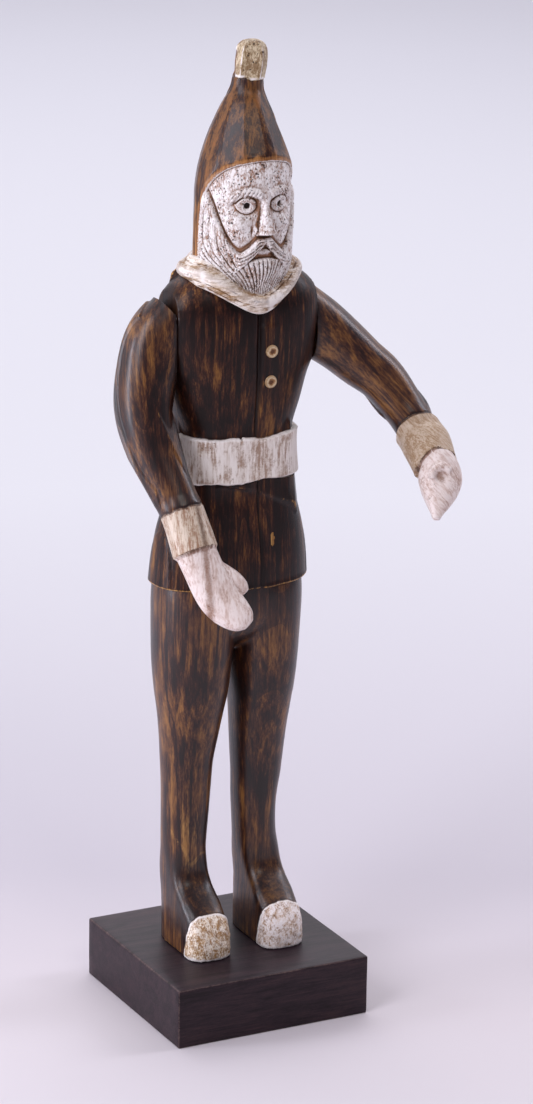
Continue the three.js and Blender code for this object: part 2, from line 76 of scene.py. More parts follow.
def between(stations, place):
    # values of a table on smooth curves; a row is its place, then its values
    table = np.array(stations, float)
    spots, values = table[:, 0], table[:, 1:]
    last = len(spots) - 1
    held = np.clip(place, spots[0], spots[-1])
    upper = np.clip(np.searchsorted(spots, held, side="right"), 1, last)
    lower = upper - 1
    before, after = np.maximum(lower - 1, 0), np.minimum(upper + 1, last)
    span = spots[upper] - spots[lower]
    t = ((held - spots[lower]) / span)[:, None]
    a, b = values[lower], values[upper]
    slopeIn = (span / (spots[upper] - spots[before]))[:, None] * (b - values[before])
    slopeOut = (span / (spots[after] - spots[lower]))[:, None] * (values[after] - a)
    rise = t * t * (3 - 2 * t)
    return (a + (b - a) * rise + slopeIn * t * (1 - t) ** 2 - slopeOut * t * t * (1 - t)).T


def oblong(turn, halfWidth, halfDepth, squareness):
    across = np.abs(np.sin(turn) / halfWidth) ** squareness
    along = np.abs(np.cos(turn) / halfDepth) ** squareness
    return (across + along) ** (-1 / squareness)


def upright(turn, radius, rise, back, sideways=0):
    # points round an upright line
    across, ahead = radius * np.sin(turn), radius * np.cos(turn)
    return np.stack([sideways + across, back - ahead, soles + rise], 1)


def closedEnds(along, end):
    # how far along a tube that is closed at both ends, and the reach from its middle
    spots = [0, end, 1 - end, 1]
    return np.interp(along, spots, [0, 0, 1, 1]), np.interp(along, spots, [0, 1, 1, 0])


def wander(x, y, seed):
    # a smooth uneven line or field, about -1 to 1
    own = np.random.default_rng(seed)
    total = 0
    for step in range(5):
        fx, fy = own.normal(0, 1 + 0.5 * step, 2)
        total = total + np.sin(fx * x + fy * y + own.uniform(0, 6.3)) / (1 + 0.4 * step)
    return total / 2.6


def roundWander(turn, other, seed, lumps):
    # the same round a closed ring
    return wander(lumps * np.cos(turn) + other, lumps * np.sin(turn) - other, seed)


def readValues(items, label, width=1, kind=np.float32):
    values = np.empty(len(items) * width, kind)
    items.foreach_get(label, values)
    return values.reshape(-1, width) if width > 1 else values


def readPoints(mesh):
    return readValues(mesh.vertices, "co", 3).astype(float)


def readNormals(mesh):
    return readValues(mesh.vertex_normals, "vector", 3).astype(float)


def readMark(mesh, label):
    return readValues(mesh.attributes[label].data, "value").astype(float)


def writePoints(mesh, points):
    mesh.vertices.foreach_set("co", np.ascontiguousarray(points, np.float32).ravel())
    mesh.update()


def writeMarks(mesh, **marks):
    # one value for each point, under a name that the materials read
    for label, values in marks.items():
        layer = mesh.attributes.get(label) or mesh.attributes.new(label, "FLOAT", "POINT")
        spread = np.broadcast_to(values, len(mesh.vertices))
        layer.data.foreach_set("value", np.ascontiguousarray(spread, np.float32))


def changeMark(mesh, label, more, times=1, most=1):
    value = readMark(mesh, label) * times + more
    writeMarks(mesh, **{label: np.clip(value, 0, most)})


def toMesh(shape, name):
    mesh = bpy.data.meshes.new(name)
    shape.to_mesh(mesh)
    shape.free()
    return mesh


def addObject(name, data):
    item = bpy.data.objects.new(name, data)
    bpy.context.collection.objects.link(item)
    return item


def tube(name, columns, rows, place):
    # a grid bent round a line: place(turn, along) gives the points and their marks
    shape = bmesh.new()
    bmesh.ops.create_grid(shape, x_segments=columns, y_segments=rows, size=0.5)
    mesh = toMesh(shape, name)
    around, along = np.round(readPoints(mesh)[:, :2] + 0.5, 6).T
    points, marks = place((around - 0.5) * 2 * math.pi, along)
    writePoints(mesh, points)
    writeMarks(mesh, **marks)
    shape = bmesh.new()
    shape.from_mesh(mesh)
    bmesh.ops.remove_doubles(shape, verts=shape.verts, dist=1e-4)
    bmesh.ops.recalc_face_normals(shape, faces=shape.faces)
    return toMesh(shape, name)


def averaged(values, edges):
    # the mean of each point's neighbours
    count = len(values)
    flat = values.reshape(count, -1)
    joined = np.bincount(edges.ravel(), minlength=count)
    total = np.empty_like(flat)
    for column in range(flat.shape[1]):
        one = np.bincount(edges[:, 0], flat[edges[:, 1], column], count)
        two = np.bincount(edges[:, 1], flat[edges[:, 0], column], count)
        total[:, column] = (one + two) / np.maximum(joined, 1)
    return total.reshape(values.shape)


def relax(mesh, times, amount=0.5, where=None):
    points, edges = readPoints(mesh), readValues(mesh.edges, "vertices", 2, np.int32)
    weight = amount if where is None else (amount * where)[:, None]
    for _ in range(times):
        points = points + (averaged(points, edges) - points) * weight
    writePoints(mesh, points)


# What a cut of the knife is like unless a piece says otherwise. Each piece gives the seed, the
# spacing of the flats, their stretch along the grain and their depth in millimetres.
knife = {
    "grain": (0.0, 0.0, 1.0),
    "tries": 5000,  # how many points are tried as the seat of a flat
    "straight": 0.5,  # how far the flats lie along the grain
    "tilt": 0.02,
    "depths": (0.55, 1.25),  # the shallowest and deepest flat, as shares of the depth
    "most": 1.9,  # the most that is taken off, as a share of the depth
    "bend": 0.3,  # how hollow a flat is
    "even": 1.0,  # how much of what is taken off is put back, so that the outline stays
    "ridge": 0.18,  # mm, how narrow the ridges between flats are
    "crease": 0.025,  # flats that meet flatter than this leave no ridge
    "ownSide": 0.4,  # a flat leaves alone what looks further from its own way than this
    "hold": 6.0,  # mm, how strongly
    "atOnce": 6000,  # points worked out together, to save memory
}


def whittle(mesh, cut, where=None):
    # flats as a knife leaves them: each point is taken down to the deepest of the planes near it
    cut = dict(knife, **cut)
    points, normals = readPoints(mesh), readNormals(mesh)
    where = np.ones(len(points)) if where is None else where
    own = np.random.default_rng(cut["seed"])
    grain = np.array(cut["grain"], float)
    grain /= np.linalg.norm(grain)
    flat = points @ (np.eye(3) - np.outer(grain, grain) * (1 - 1 / cut["stretch"]))
    kept = []
    for index in own.permutation(len(points))[: cut["tries"]]:
        if not kept or ((flat[kept] - flat[index]) ** 2).sum(1).min() > cut["spacing"] ** 2:
            kept.append(index)
    seats, faces = points[kept], normals[kept]
    faces = faces - np.outer(faces @ grain, grain) * cut["straight"]
    faces += own.normal(0, cut["tilt"], faces.shape)
    faces /= np.linalg.norm(faces, axis=1)[:, None]
    depth = cut["depth"] * own.uniform(*cut["depths"], len(kept))
    level = (seats * faces).sum(1) - depth
    bend = cut["bend"] * cut["depth"] / cut["spacing"] ** 2
    best, apart, crease = (np.zeros(len(points)) for _ in range(3))
    touched = np.flatnonzero(where > 0)
    for some in np.array_split(touched, 1 + len(touched) // cut["atOnce"]):
        mine = flat[some]
        gaps = (mine**2).sum(1)[:, None] + (flat[kept] ** 2).sum(1) - 2 * mine @ flat[kept].T
        over = points[some] @ faces.T - level - bend * gaps
        over -= cut["hold"] * np.clip(cut["ownSide"] - normals[some] @ faces.T, 0, 1)
        ranks = np.argpartition(over, -2, axis=1)[:, -2:]
        pair = np.take_along_axis(over, ranks, axis=1)
        best[some], apart[some] = pair[:, 1], pair[:, 1] - pair[:, 0]
        crease[some] = 1 - (faces[ranks[:, 0]] * faces[ranks[:, 1]]).sum(1)
    taken = np.clip(best, 0, cut["depth"] * cut["most"])
    taken = taken - cut["even"] * (taken * where).sum() / where.sum()
    writePoints(mesh, points - normals * (taken * where)[:, None])
    return np.exp(-apart / cut["ridge"]) * smooth(crease / cut["crease"]) * where


wear = {
    "reach": 4.0,  # mm round a point that its height is measured against
    "steps": (8, 60),  # fewest and most steps of averaging that reach so far
    "early": 5,  # the step that small bulges are measured against
    "worn": (2.0, 0.12),  # how strongly a bulge shows, less what doesn't show yet
    "hollow": (2.2, 0.08),
    "sunk": 1.3,  # mm under the shape around it
}


def markShape(mesh, ridge):
    # ridges, where a finish wears through first, and hollows, where dirt and stain stay
    points, normals = readPoints(mesh), readNormals(mesh)
    edges = readValues(mesh.edges, "vertices", 2, np.int32)
    length = np.linalg.norm(points[edges[:, 0]] - points[edges[:, 1]], axis=1).mean()
    near = ((points - averaged(points, edges)) * normals).sum(1) / length
    wide = points
    for step in range(int(np.clip((wear["reach"] / length) ** 2, *wear["steps"]))):
        wide = averaged(wide, edges)
        if step == wear["early"]:
            far = ((points - wide) * normals).sum(1) / (length * 2.5)
    broad = ((points - wide) * normals).sum(1)  # mm over or under the shape around it
    bulge = averaged(near, edges) * 1.2 + far
    (wornGain, wornStart), (hollowGain, hollowStart) = wear["worn"], wear["hollow"]
    worn = np.clip(bulge * wornGain - wornStart, 0, 1)
    worn = np.clip(worn + averaged(ridge, edges), 0, 1)
    hollow = np.clip(-bulge * hollowGain - hollowStart, 0, 1)
    writeMarks(mesh, worn=worn, hollow=hollow, sunk=np.clip(-broad / wear["sunk"], 0, 1))


def fuse(name, meshes, voxel):
    # closed skins that run into each other become one carved surface
    shape = bmesh.new()
    for mesh in meshes:
        shape.from_mesh(mesh)
    rough = addObject(name, toMesh(shape, name))
    remesh = rough.modifiers.new("one surface", "REMESH")
    remesh.mode = "VOXEL"
    remesh.voxel_size = voxel
    remesh.adaptivity = 0
    seen = rough.evaluated_get(bpy.context.evaluated_depsgraph_get())
    result = bpy.data.meshes.new_from_object(seen)
    bpy.data.objects.remove(rough)
    return result


def finishPiece(name, mesh, material, node):
    # millimetres become metres; the object stays at the origin with its place in its mesh
    writePoints(mesh, readPoints(mesh) * millimetre)
    mesh.materials.clear()
    mesh.materials.append(material)
    mesh.shade_smooth()
    piece = addObject(name, mesh)
    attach(piece, "root")
    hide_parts(node)
    print(f"{name}: {sum(len(p.vertices) - 2 for p in mesh.polygons)} triangles")


def colour(hexText):
    # sRGB hex to linear
    parts = [int(hexText[at : at + 2], 16) / 255 for at in (1, 3, 5)]
    linear = [p / 12.92 if p <= 0.04045 else ((p + 0.055) / 1.055) ** 2.4 for p in parts]
    return (*linear, 1.0)


def addNode(tree, kind, inputs=None, output=0, stops=(), **settings):
    # a node with its settings, links and colour stops; gives back one output
    node = tree.nodes.new("ShaderNode" + kind)
    for label, value in settings.items():
        setattr(node, label, value)
    for label, value in (inputs or {}).items():
        if isinstance(value, bpy.types.NodeSocket):
            tree.links.new(value, node.inputs[label])
        else:
            node.inputs[label].default_value = value
    for index, (place, tone) in enumerate(stops):
        band = node.color_ramp.elements
        element = band[index] if index < len(band) else band.new(place)
        element.position, element.color = place, colour(tone)
    return node.outputs[output] if node.outputs else node


def newMaterial(name, turned=(0, 0, 0)):
    # also gives the place on the object in millimetres, turned to the grain
    material = bpy.data.materials.new(name)
    material.use_nodes = True
    tree = material.node_tree
    tree.nodes.clear()
    spot = addNode(tree, "TexCoord", output="Object")
    grainwise = {"Vector": spot, "Rotation": turned, "Scale": (1000, 1000, 1000)}
    return material, tree, addNode(tree, "Mapping", grainwise)


def addNoises(tree, place, table):
    # noise patterns from rows of stretch, size in mm, detail, roughness and distortion
    noises = {}
    for name, (stretch, size, detail, roughness, distortion) in table.items():
        inputs = {
            "Vector": addNode(tree, "Mapping", {"Vector": place, "Scale": stretch}),
            "Scale": 1 / size,
            "Detail": detail,
            "Roughness": roughness,
            "Distortion": distortion,
        }
        noises[name] = addNode(tree, "TexNoise", inputs, "Fac")
    return noises


def mixed(tree, values, amounts, start=0.0):
    # the sum of patterns, each swinging by its amount either side of nothing
    total = start - sum(amounts.values())
    for name, amount in amounts.items():
        inputs = {0: values[name], 1: 2 * amount, 2: total}
        total = addNode(tree, "Math", inputs, operation="MULTIPLY_ADD")
    return total


def layered(tree, under, layers):
    # colours laid over one another; each layer is a value, where it starts and ends, its strength
    for value, low, high, strength, over in layers:
        inputs = {"Value": value, "From Min": low, "From Max": high, "To Max": strength}
        amount = addNode(tree, "MapRange", inputs, interpolation_type="SMOOTHSTEP")
        over = colour(over) if isinstance(over, str) else over
        under = addNode(tree, "Mix", {0: amount, 6: under, 7: over}, 2, data_type="RGBA")
    return under


def shade(tree, tone, roughness, bump, look):
    inputs = {
        "Base Color": tone,
        "Roughness": roughness,
        "IOR": 1.5,  # wax and dried paint alike
        "Specular IOR Level": look["specular"],
        "Coat Weight": look["coat"],
        "Coat Roughness": look["coatRoughness"],
        "Normal": bump,
    }
    shader = addNode(tree, "BsdfPrincipled", inputs)
    addNode(tree, "OutputMaterial", {"Surface": shader})


# Basswood, carved with a knife, stained dark and waxed: streaks run along the grain, the stain
# is worn to orange on the ridges, and the wax gives soft satin reflections.
stainedLook = {
    "deep": "#140604",
    "dark": "#28100a",
    "middle": "#3f2012",
    "light": "#633e1f",
    "worn": "#8a5d2c",
    "bright": "#c09150",
    "lift": 0.0,  # more shows more of the lighter wood
    "roughness": 0.36,
    "specular": 0.32,  # the wax has sunk in
    "coat": 0.14,
    "coatRoughness": 0.22,
    "pith": (14.0, 9.0, 0.0),
    "ringScale": 0.058,  # about 5.5 mm between growth rings
    "grain": (0.0, 0.0, 0.0),
    # how far up the scale from deep to worn each tone lies
    "stops": [(0.3, "deep"), (0.43, "dark"), (0.53, "middle"), (0.65, "light"), (0.82, "worn")],
}
woodPatterns = {
    # stretch, size in mm, detail, roughness, distortion
    "blotch": ((1, 1, 0.3), 13.0, 4, 0.55, 0.9),
    "streak": ((1, 1, 0.05), 1.3, 4, 0.6, 0.3),
    "wide": ((1, 1, 0.05), 5.2, 3, 0.5, 0.6),
    "pore": ((1, 1, 0.12), 0.5, 3, 0.75, 0.0),  # drawn larger than they are, so they show
    "drift": ((1, 1, 1), 30.0, 2, 0.5, 0.4),
}
woodAmounts = {"blotch": 0.36, "wide": 0.36, "streak": 0.36, "pore": 0.26}
woodAmounts.update(rings=0.05, drift=0.34)

# Casein paint in off-white, brushed on and rubbed back: brown stays in the cuts, bare wood shows
# in specks, and the brush leaves fine lines.
paintLook = {
    "light": "#ece5e3",
    "body": "#c9bbb4",
    "stain": "#94684a",
    # dark specks, and painted shade in the drilled eye holes
    "bare": "#5a3a22",
    "dark": "#2c1c15",
    "patch": 8.0,  # mm, where the paint is thinner
    "speck": 1.1,  # mm
    "brush": 0.8,  # mm between brush lines
    "wash": 0.3,  # how much brown lies over the paint
    "chips": 0.5,  # how many specks are bare
    "dirt": 1.0,  # how brown the hollows are
    "edges": 0.7,  # how white the ridges are
    "dots": 2.6,  # mm between dark specks
    "spots": 0.0,  # how many and how large the dark specks are
    "edge": "#f4eeea",
    "smear": (1.0, 1.0, 0.5),  # stretch of the patches
    "lines": (1.0, 1.0, 0.1),  # stretch of the brush lines
    "roughness": 0.58,
}


def woodTone(tree, place, look, worn, hollow):
    values = addNoises(tree, place, woodPatterns)
    core = {"Vector": place, "Location": look["pith"], "Scale": (1, 1, 0.12)}
    rings = {
        "Vector": addNode(tree, "Mapping", core),
        "Scale": look["ringScale"],
        "Distortion": 5.5,
        "Detail": 3.0,
        "Detail Scale": 0.16,
        "Detail Roughness": 0.6,
    }
    ringKind = {"wave_type": "RINGS", "rings_direction": "Z", "wave_profile": "SAW"}
    values["rings"] = addNode(tree, "TexWave", rings, "Fac", **ringKind)
    tone = mixed(tree, values, woodAmounts, 0.5 + look["lift"])
    stops = [(at, look[key]) for at, key in look["stops"]]
    stained = addNode(tree, "ValToRGB", {0: tone}, stops=stops)
    stops = [(0.38, look["worn"]), (0.62, look["bright"])]
    orange = addNode(tree, "ValToRGB", {0: values["streak"]}, stops=stops)
    values["worn"], values["hollow"] = worn, hollow
    rubbed = mixed(tree, values, {"worn": 0.5, "wide": 0.6, "pore": 0.3, "streak": 0.35})
    layers = [(rubbed, -0.05, 0.5, 0.85, orange), (hollow, 0.05, 1.0, 0.85, look["deep"])]
    height = mixed(tree, values, {"streak": 0.25, "pore": 0.25})
    rough = mixed(tree, values, {"blotch": 0.14}, look["roughness"])
    return layered(tree, stained, layers), rough, height


def paintTone(tree, place, paint, marks):
    table = {
        "brush": (paint["lines"], paint["brush"], 4, 0.65, 0.2),
        "band": (paint["lines"], paint["brush"] * 4, 3, 0.5, 0.4),
        "patch": (paint["smear"], paint["patch"], 6, 0.65, 0.3),
        "speck": ((1, 1, 1), paint["speck"], 3, 0.6, 0.3),
    }
    values = dict(addNoises(tree, place, table), **marks)
    strokes = mixed(tree, values, {"brush": 0.3, "band": 0.2}, 0.5)
    stops = [(0.38, paint["body"]), (0.56, paint["light"])]
    coat = addNode(tree, "ValToRGB", {0: strokes}, stops=stops)
    wash = mixed(tree, values, {"patch": 0.9, "brush": -0.7, "band": -0.4, "speck": 0.35})
    more = 0.25 * (paint["dirt"] - 1)
    cuts = mixed(tree, values, {"hollow": 0.5, "patch": 0.35, "speck": 0.25}, more)
    low = mixed(tree, values, {"sunk": 0.5, "patch": 0.45, "brush": -0.35, "speck": 0.2}, more)
    dots = {"Vector": place, "Scale": 1 / paint["dots"]}
    values["dots"] = addNode(tree, "TexVoronoi", dots, "Distance")
    spots = mixed(tree, values, {"dots": -1.0, "patch": 0.9, "speck": 0.35})
    chips = mixed(tree, values, {"speck": 0.7, "patch": 0.5, "worn": 0.06, "sunk": 0.05})
    edge = 0.42 - 0.25 * paint["chips"]
    layers = [
        (wash, 0.25 - paint["wash"], 0.75 - paint["wash"], 0.75, paint["stain"]),
        (low, -0.45, 0.4, 0.85 * paint["dirt"], paint["stain"]),
        (cuts, -0.35, 0.45, 0.9 * paint["dirt"], paint["bare"]),
        (values["worn"], 0.1, 0.8, paint["edges"], paint["edge"]),
        (spots, 0.95 - paint["spots"], 1.05 - paint["spots"], 0.85, paint["dark"]),
        (chips, edge, edge + 0.07, 0.85, paint["bare"]),
        # painted shade: the dark colour fills the drilled eye holes
        (values["dark"], 0, 1, 1, paint["dark"]),
    ]
    bumps = mixed(tree, values, {"brush": 0.4})
    height = addNode(tree, "Math", {0: chips, 1: -0.6, 2: bumps}, operation="MULTIPLY_ADD")
    limit = mixed(tree, values, {"speck": 0.8})
    limit = addNode(tree, "Math", {0: limit, 1: values["paint"]}, operation="ADD")
    inputs = {"Value": limit, "From Min": -0.25, "From Max": 0.25}
    covered = addNode(tree, "MapRange", inputs, interpolation_type="SMOOTHSTEP")
    return layered(tree, coat, layers), covered, height


def carvedFinish(name, paint, wood=None, second=None):
    # stained wood, with paint where the mesh's "paint" value is over nothing; a piece that has
    # paint of two kinds says in "second" where the other one is
    look, paint = dict(stainedLook, **(wood or {})), dict(paintLook, **paint)
    material, tree, place = newMaterial(name, look["grain"])
    marks = {}
    for label in ("worn", "hollow", "sunk", "dark", "paint", "second"):
        marks[label] = addNode(tree, "Attribute", output="Fac", attribute_name=label)
    tone, rough, height = woodTone(tree, place, look, marks["worn"], marks["hollow"])
    coat, covered, coatHeight = paintTone(tree, place, paint, marks)
    if second:
        secondCoat, _, _ = paintTone(tree, place, dict(paintLook, **second), marks)
        coat = layered(tree, coat, [(marks["second"], 0, 1, 1, secondCoat)])
    tone = layered(tree, tone, [(covered, 0, 1, 1, coat)])
    duller = {0: covered, 1: paint["roughness"] - look["roughness"], 2: rough}
    rough = addNode(tree, "Math", duller, operation="MULTIPLY_ADD")
    heights = {0: covered, 2: height, 3: coatHeight}
    height = addNode(tree, "Mix", heights, 0, data_type="FLOAT")
    bump = addNode(tree, "Bump", {"Strength": 0.5, "Distance": 0.0003, "Height": height})
    shade(tree, tone, rough, bump, look)
    return material


head = {
    # height, how far the middle is to the left and set back, half width, half depth
    "stations": [
        (700, 0, -9.1, 50.8, 43.6), (742, 0, -9.4, 51.7, 49), (773, 0, -11.6, 51.9, 53.5),
        (798, 0, -12.9, 52.1, 54.4), (823, 0.4, -13.8, 52.1, 54.4), (849, 1.2, -14.5, 52, 54.2),
        (874, 1.7, -14.9, 48.3, 50.2), (900, 1.5, -14.5, 40, 41.5), (925, 0.8, -14.8, 29.2, 29.6),
        (938, 1, -14.8, 22.8, 22.9), (950, 2.8, -14.4, 17.2, 16.6), (963, 5.2, -14.2, 16.5, 16),
        (976, 7.2, -13.6, 17, 16.5), (988, 8.8, -12.8, 16.2, 16), (1000, 9.6, -12.6, 13, 13),
    ],
    # share of the mesh's rows, height
    "rows": [
        (0, 732), (0.004, 732), (0.03, 740), (0.76, 890), (0.88, 957), (0.91, 961), (0.975, 984),
        (1, 1000),
    ],
    "dome": (0.975, 984),  # row and height where the bobble rounds over
    "frontShare": 0.8,  # share of the columns that lie on the front half
    "bobble": 959 * share,
    "bobbleProud": 0.8,
    "ledge": (0.5, 2.2),  # mm that the bobble's foot waves, and rises at the right
    "strip": (14, -2.15, 0.35, 0.2),  # the brown runs up one side: mm, turn, half width, edge
    # turn of each flat, and how far out it lies as a share of the radius
    "bobbleFlats": [
        (-155, 0.97), (-122, 0.97), (-92, 0.87), (-21, 0.82), (45, 0.9), (85, 0.9), (128, 0.93),
        (175, 0.92),
    ],
    "hatFlats": [
        (-178, 0.955), (-149, 0.955), (-117, 0.96), (-82, 0.962), (-41, 0.945), (-14, 0.95),
        (40, 0.925), (66, 0.95), (97, 0.955), (125, 0.955), (153, 0.955),
    ],
    "flatsOut": 1.012,
    # the hat's opening is an arch
    "archTurn": 89 * degree,
    "archSpring": 800 * share,
    "archTop": 881 * share,
    "archBend": 2.5,
    "rimStep": 1.8,
    "rimWidth": 0.55,
    "hatCut": {"seed": 5, "spacing": 13, "stretch": 5, "depth": 0.4, "bend": 0.5, "straight": 0.2},
    "bobbleCut": {
        "seed": 8, "spacing": 6, "stretch": 1.5, "depth": 0.4, "straight": 0, "bend": 0.1,
    },
    "facePaint": {
        "body": "#b5a49c", "light": "#f3efee", "chips": 0.6, "speck": 0.9, "dirt": 1.5,
        "spots": 0.44, "dots": 2.0, "brush": 0.9, "lines": (1, 1, 0.5), "smear": (1, 1, 0.8),
    },
    "bobblePaint": {
        "body": "#9c8764", "light": "#d3c2a4", "stain": "#7b5a35", "wash": 0.5, "spots": 0.3,
        "patch": 5.0, "edges": 1.0, "lines": (1, 1, 0.5),
    },
    "look": {"lift": 0.03, "light": "#6b4520", "worn": "#855326", "bright": "#b5804a"},
}
face = {
    "hairline": 890 * share,
    "chin": 763 * share,
    "fifth": 20.8 * share,  # a fifth of the face's width
    "tip": 741 * share,  # lower end of the beard
    "eye": 2.0,  # drilled holes: radius and depth
    "eyeDepth": 2.6,
    # mm proud, then fifths from the middle and spread, thirds over the nose's base and spread
    "mounds": {
        "forehead": (0.9, 0, 1.2, 1.5, 0.35),
        "bridge": (1.4, 0, 0.3, 1, 0.22),
        "socket": (-3.6, 0.97, 0.62, 0.69, 0.23),
        "inner corner": (-1.4, 0.45, 0.17, 0.72, 0.17),
        "tip": (1.4, 0, 0.26, 0.13, 0.1),
        "wing": (2.4, 0.46, 0.14, 0.1, 0.09),
        "beside the wing": (-0.9, 0.7, 0.07, 0.1, 0.14),
        "cheek": (2.4, 1.3, 0.48, 0.24, 0.27),
    },
    "chinMounds": {"wide": (1.9, 0, 0.85, -0.86, 0.32), "narrow": (0.8, 0, 0.5, -1, 0.3)},
}
third = (face["hairline"] - face["chin"]) / 3
fifth = face["fifth"]
browRise = face["hairline"] - third
noseRise = browRise - third
eyeRise = browRise - 0.28 * third


def mound(f, level, form):
    proud, aside, width, above, height = form
    return proud * swell(f - aside, width) * swell(level - above, height)


def beardEdge(f):
    # thirds over the base of the nose: down round the cheek, then up along the moustache
    outer = 0.9 * np.maximum(f - 1.2, 0) ** 2
    inner = 0.37 * (np.clip(1.2 - f, 0, 0.85) / 0.85) ** 1.3
    return -0.42 + outer + inner


def faceRelief(across, rise):
    # f is fifths from the middle, level is thirds over the base of the nose
    f, level = np.abs(across) / fifth, (rise - noseRise) / third
    fromBrow = level - 1.05 + 0.22 * (f - 0.85) ** 2
    hairs = 1 - 0.3 * groove(np.abs(across) * 0.45 + level * 6, 0.7)
    brow = 2.3 * plateau(fromBrow, 0.05, 0.12) * smooth((2.0 - f) * 3) * smooth((f - 0.12) * 4)
    up = (rise - eyeRise) / third
    ball = np.maximum(0, 1 - ((f - 1) / 0.52) ** 2 - (up / 0.2) ** 2)
    lidArc = 1 - ((f - 1) / 0.58) ** 2
    lids = 0.8 * swell(up - 0.17 * lidArc, 0.035) - 0.5 * swell(up - 0.26 * lidArc, 0.03)
    lids = lids + 0.6 * swell(up + 0.14 * lidArc, 0.035)
    eyes = 2.5 * np.sqrt(ball) + lids * smooth((0.64 - np.abs(f - 1)) * 7)
    down = np.clip((0.9 - level) / 0.9, 0, 1)
    ends = smooth((level + 0.05) / 0.12) * smooth((1.1 - level) / 0.3)
    across = np.maximum(0, 1 - (f / (0.23 + 0.27 * down * down)) ** 2) ** 0.6
    nose = (1.5 + 7.8 * down**1.15) * across * ends
    fold = -0.9 * swell(level - beardEdge(f) - 0.06, 0.06) * smooth((f - 0.4) * 3)
    mounds = sum(mound(f, level, form) for form in face["mounds"].values())
    return brow * hairs + eyes + nose + fold + mounds


def beardRelief(across, arc, rise):
    f, level = np.abs(across) / fifth, (rise - noseRise) / third
    edge = beardEdge(f)
    mass = smooth((edge - level) / 0.09)
    # beard: locks run down and draw together towards the tip
    over = (rise - face["tip"]) / (1.35 * third)
    u = np.abs(arc) / (0.3 + 0.7 * smooth(over)) + 0.5 * wander(arc * 0.12, rise * 0.16, 15)
    phase = np.interp(u, [0, 11, 60], [0.5, 3.65, 13])
    firm = 0.75 + 0.25 * np.sin(np.floor(phase) * 2.3 + (arc > 0) * 1.7)
    locks = firm * (0.9 + 0.9 * swell(u / 13, 1)) * groove(phase, 0.75)
    hairs = 0.4 * groove(phase * 3 + 0.4 * np.sin(rise * 0.25), 0.9)
    lowLine = -0.2 - 0.55 * f
    onLip = (1 - smooth((lowLine - level) / 0.05 + 0.5)) * smooth((1.5 - f) * 3)
    # moustache: strands run along its upper edge
    strand = (level - edge) / 0.085 + 0.35 * np.sin(f * 3 + 0.5)
    whisker = 1.0 + 0.5 * swell(level - edge + 0.16, 0.14) - 0.75 * groove(strand, 0.6)
    whisker = whisker - 0.8 * swell(f, 0.09)
    combed = onLip * whisker - (1 - onLip) * smooth(over * 5 + 0.4) * (locks + hairs)
    # the lips and the bare patch under them lie between the moustache and the tuft
    tuft = -0.62 - 0.1 * f * f
    window = smooth((lowLine - level) / 0.045) * smooth((level - tuft) / 0.05)
    window = window * smooth((0.95 - f) * 8)
    lips = 1.5 * swell(level + 0.43, 0.055) * smooth((0.55 - f) * 4)
    lips = lips - 0.9 * swell(level + 0.345, 0.022) * smooth((0.5 - f) * 4)
    chin = sum(mound(f, level, form) for form in face["chinMounds"].values())
    bare = 2.6 + 0.4 * chin + combed * (1 - onLip) - lips
    return mass * (2.4 + chin + combed) - window * bare


def archInside(rise, turn, oval):
    # millimetres inside the edge of the hat's opening, negative outside it
    tall, bend = head["archTop"] - head["archSpring"], head["archBend"]
    a = np.abs(turn) / head["archTurn"]
    b = np.maximum(rise - head["archSpring"], 0) / tall
    reach = np.maximum((a**bend + b**bend) ** (1 / bend), 1e-6)
    slopeA = (a / reach) ** (bend - 1) / (head["archTurn"] * oval)
    slopeB = (b / reach) ** (bend - 1) / tall
    return (1 - reach) / np.maximum(np.hypot(slopeA, slopeB), 1e-6)


def flatsRound(turn, table):
    # flats round a middle: how far out the nearest one lies, and how much further out the next
    middles, shares = np.array(table).T
    lean = np.maximum(np.cos(turn[:, None] - middles * degree), 0.05)
    out = np.sort(shares / lean, axis=1)
    return out[:, 0], out[:, 1] - out[:, 0]


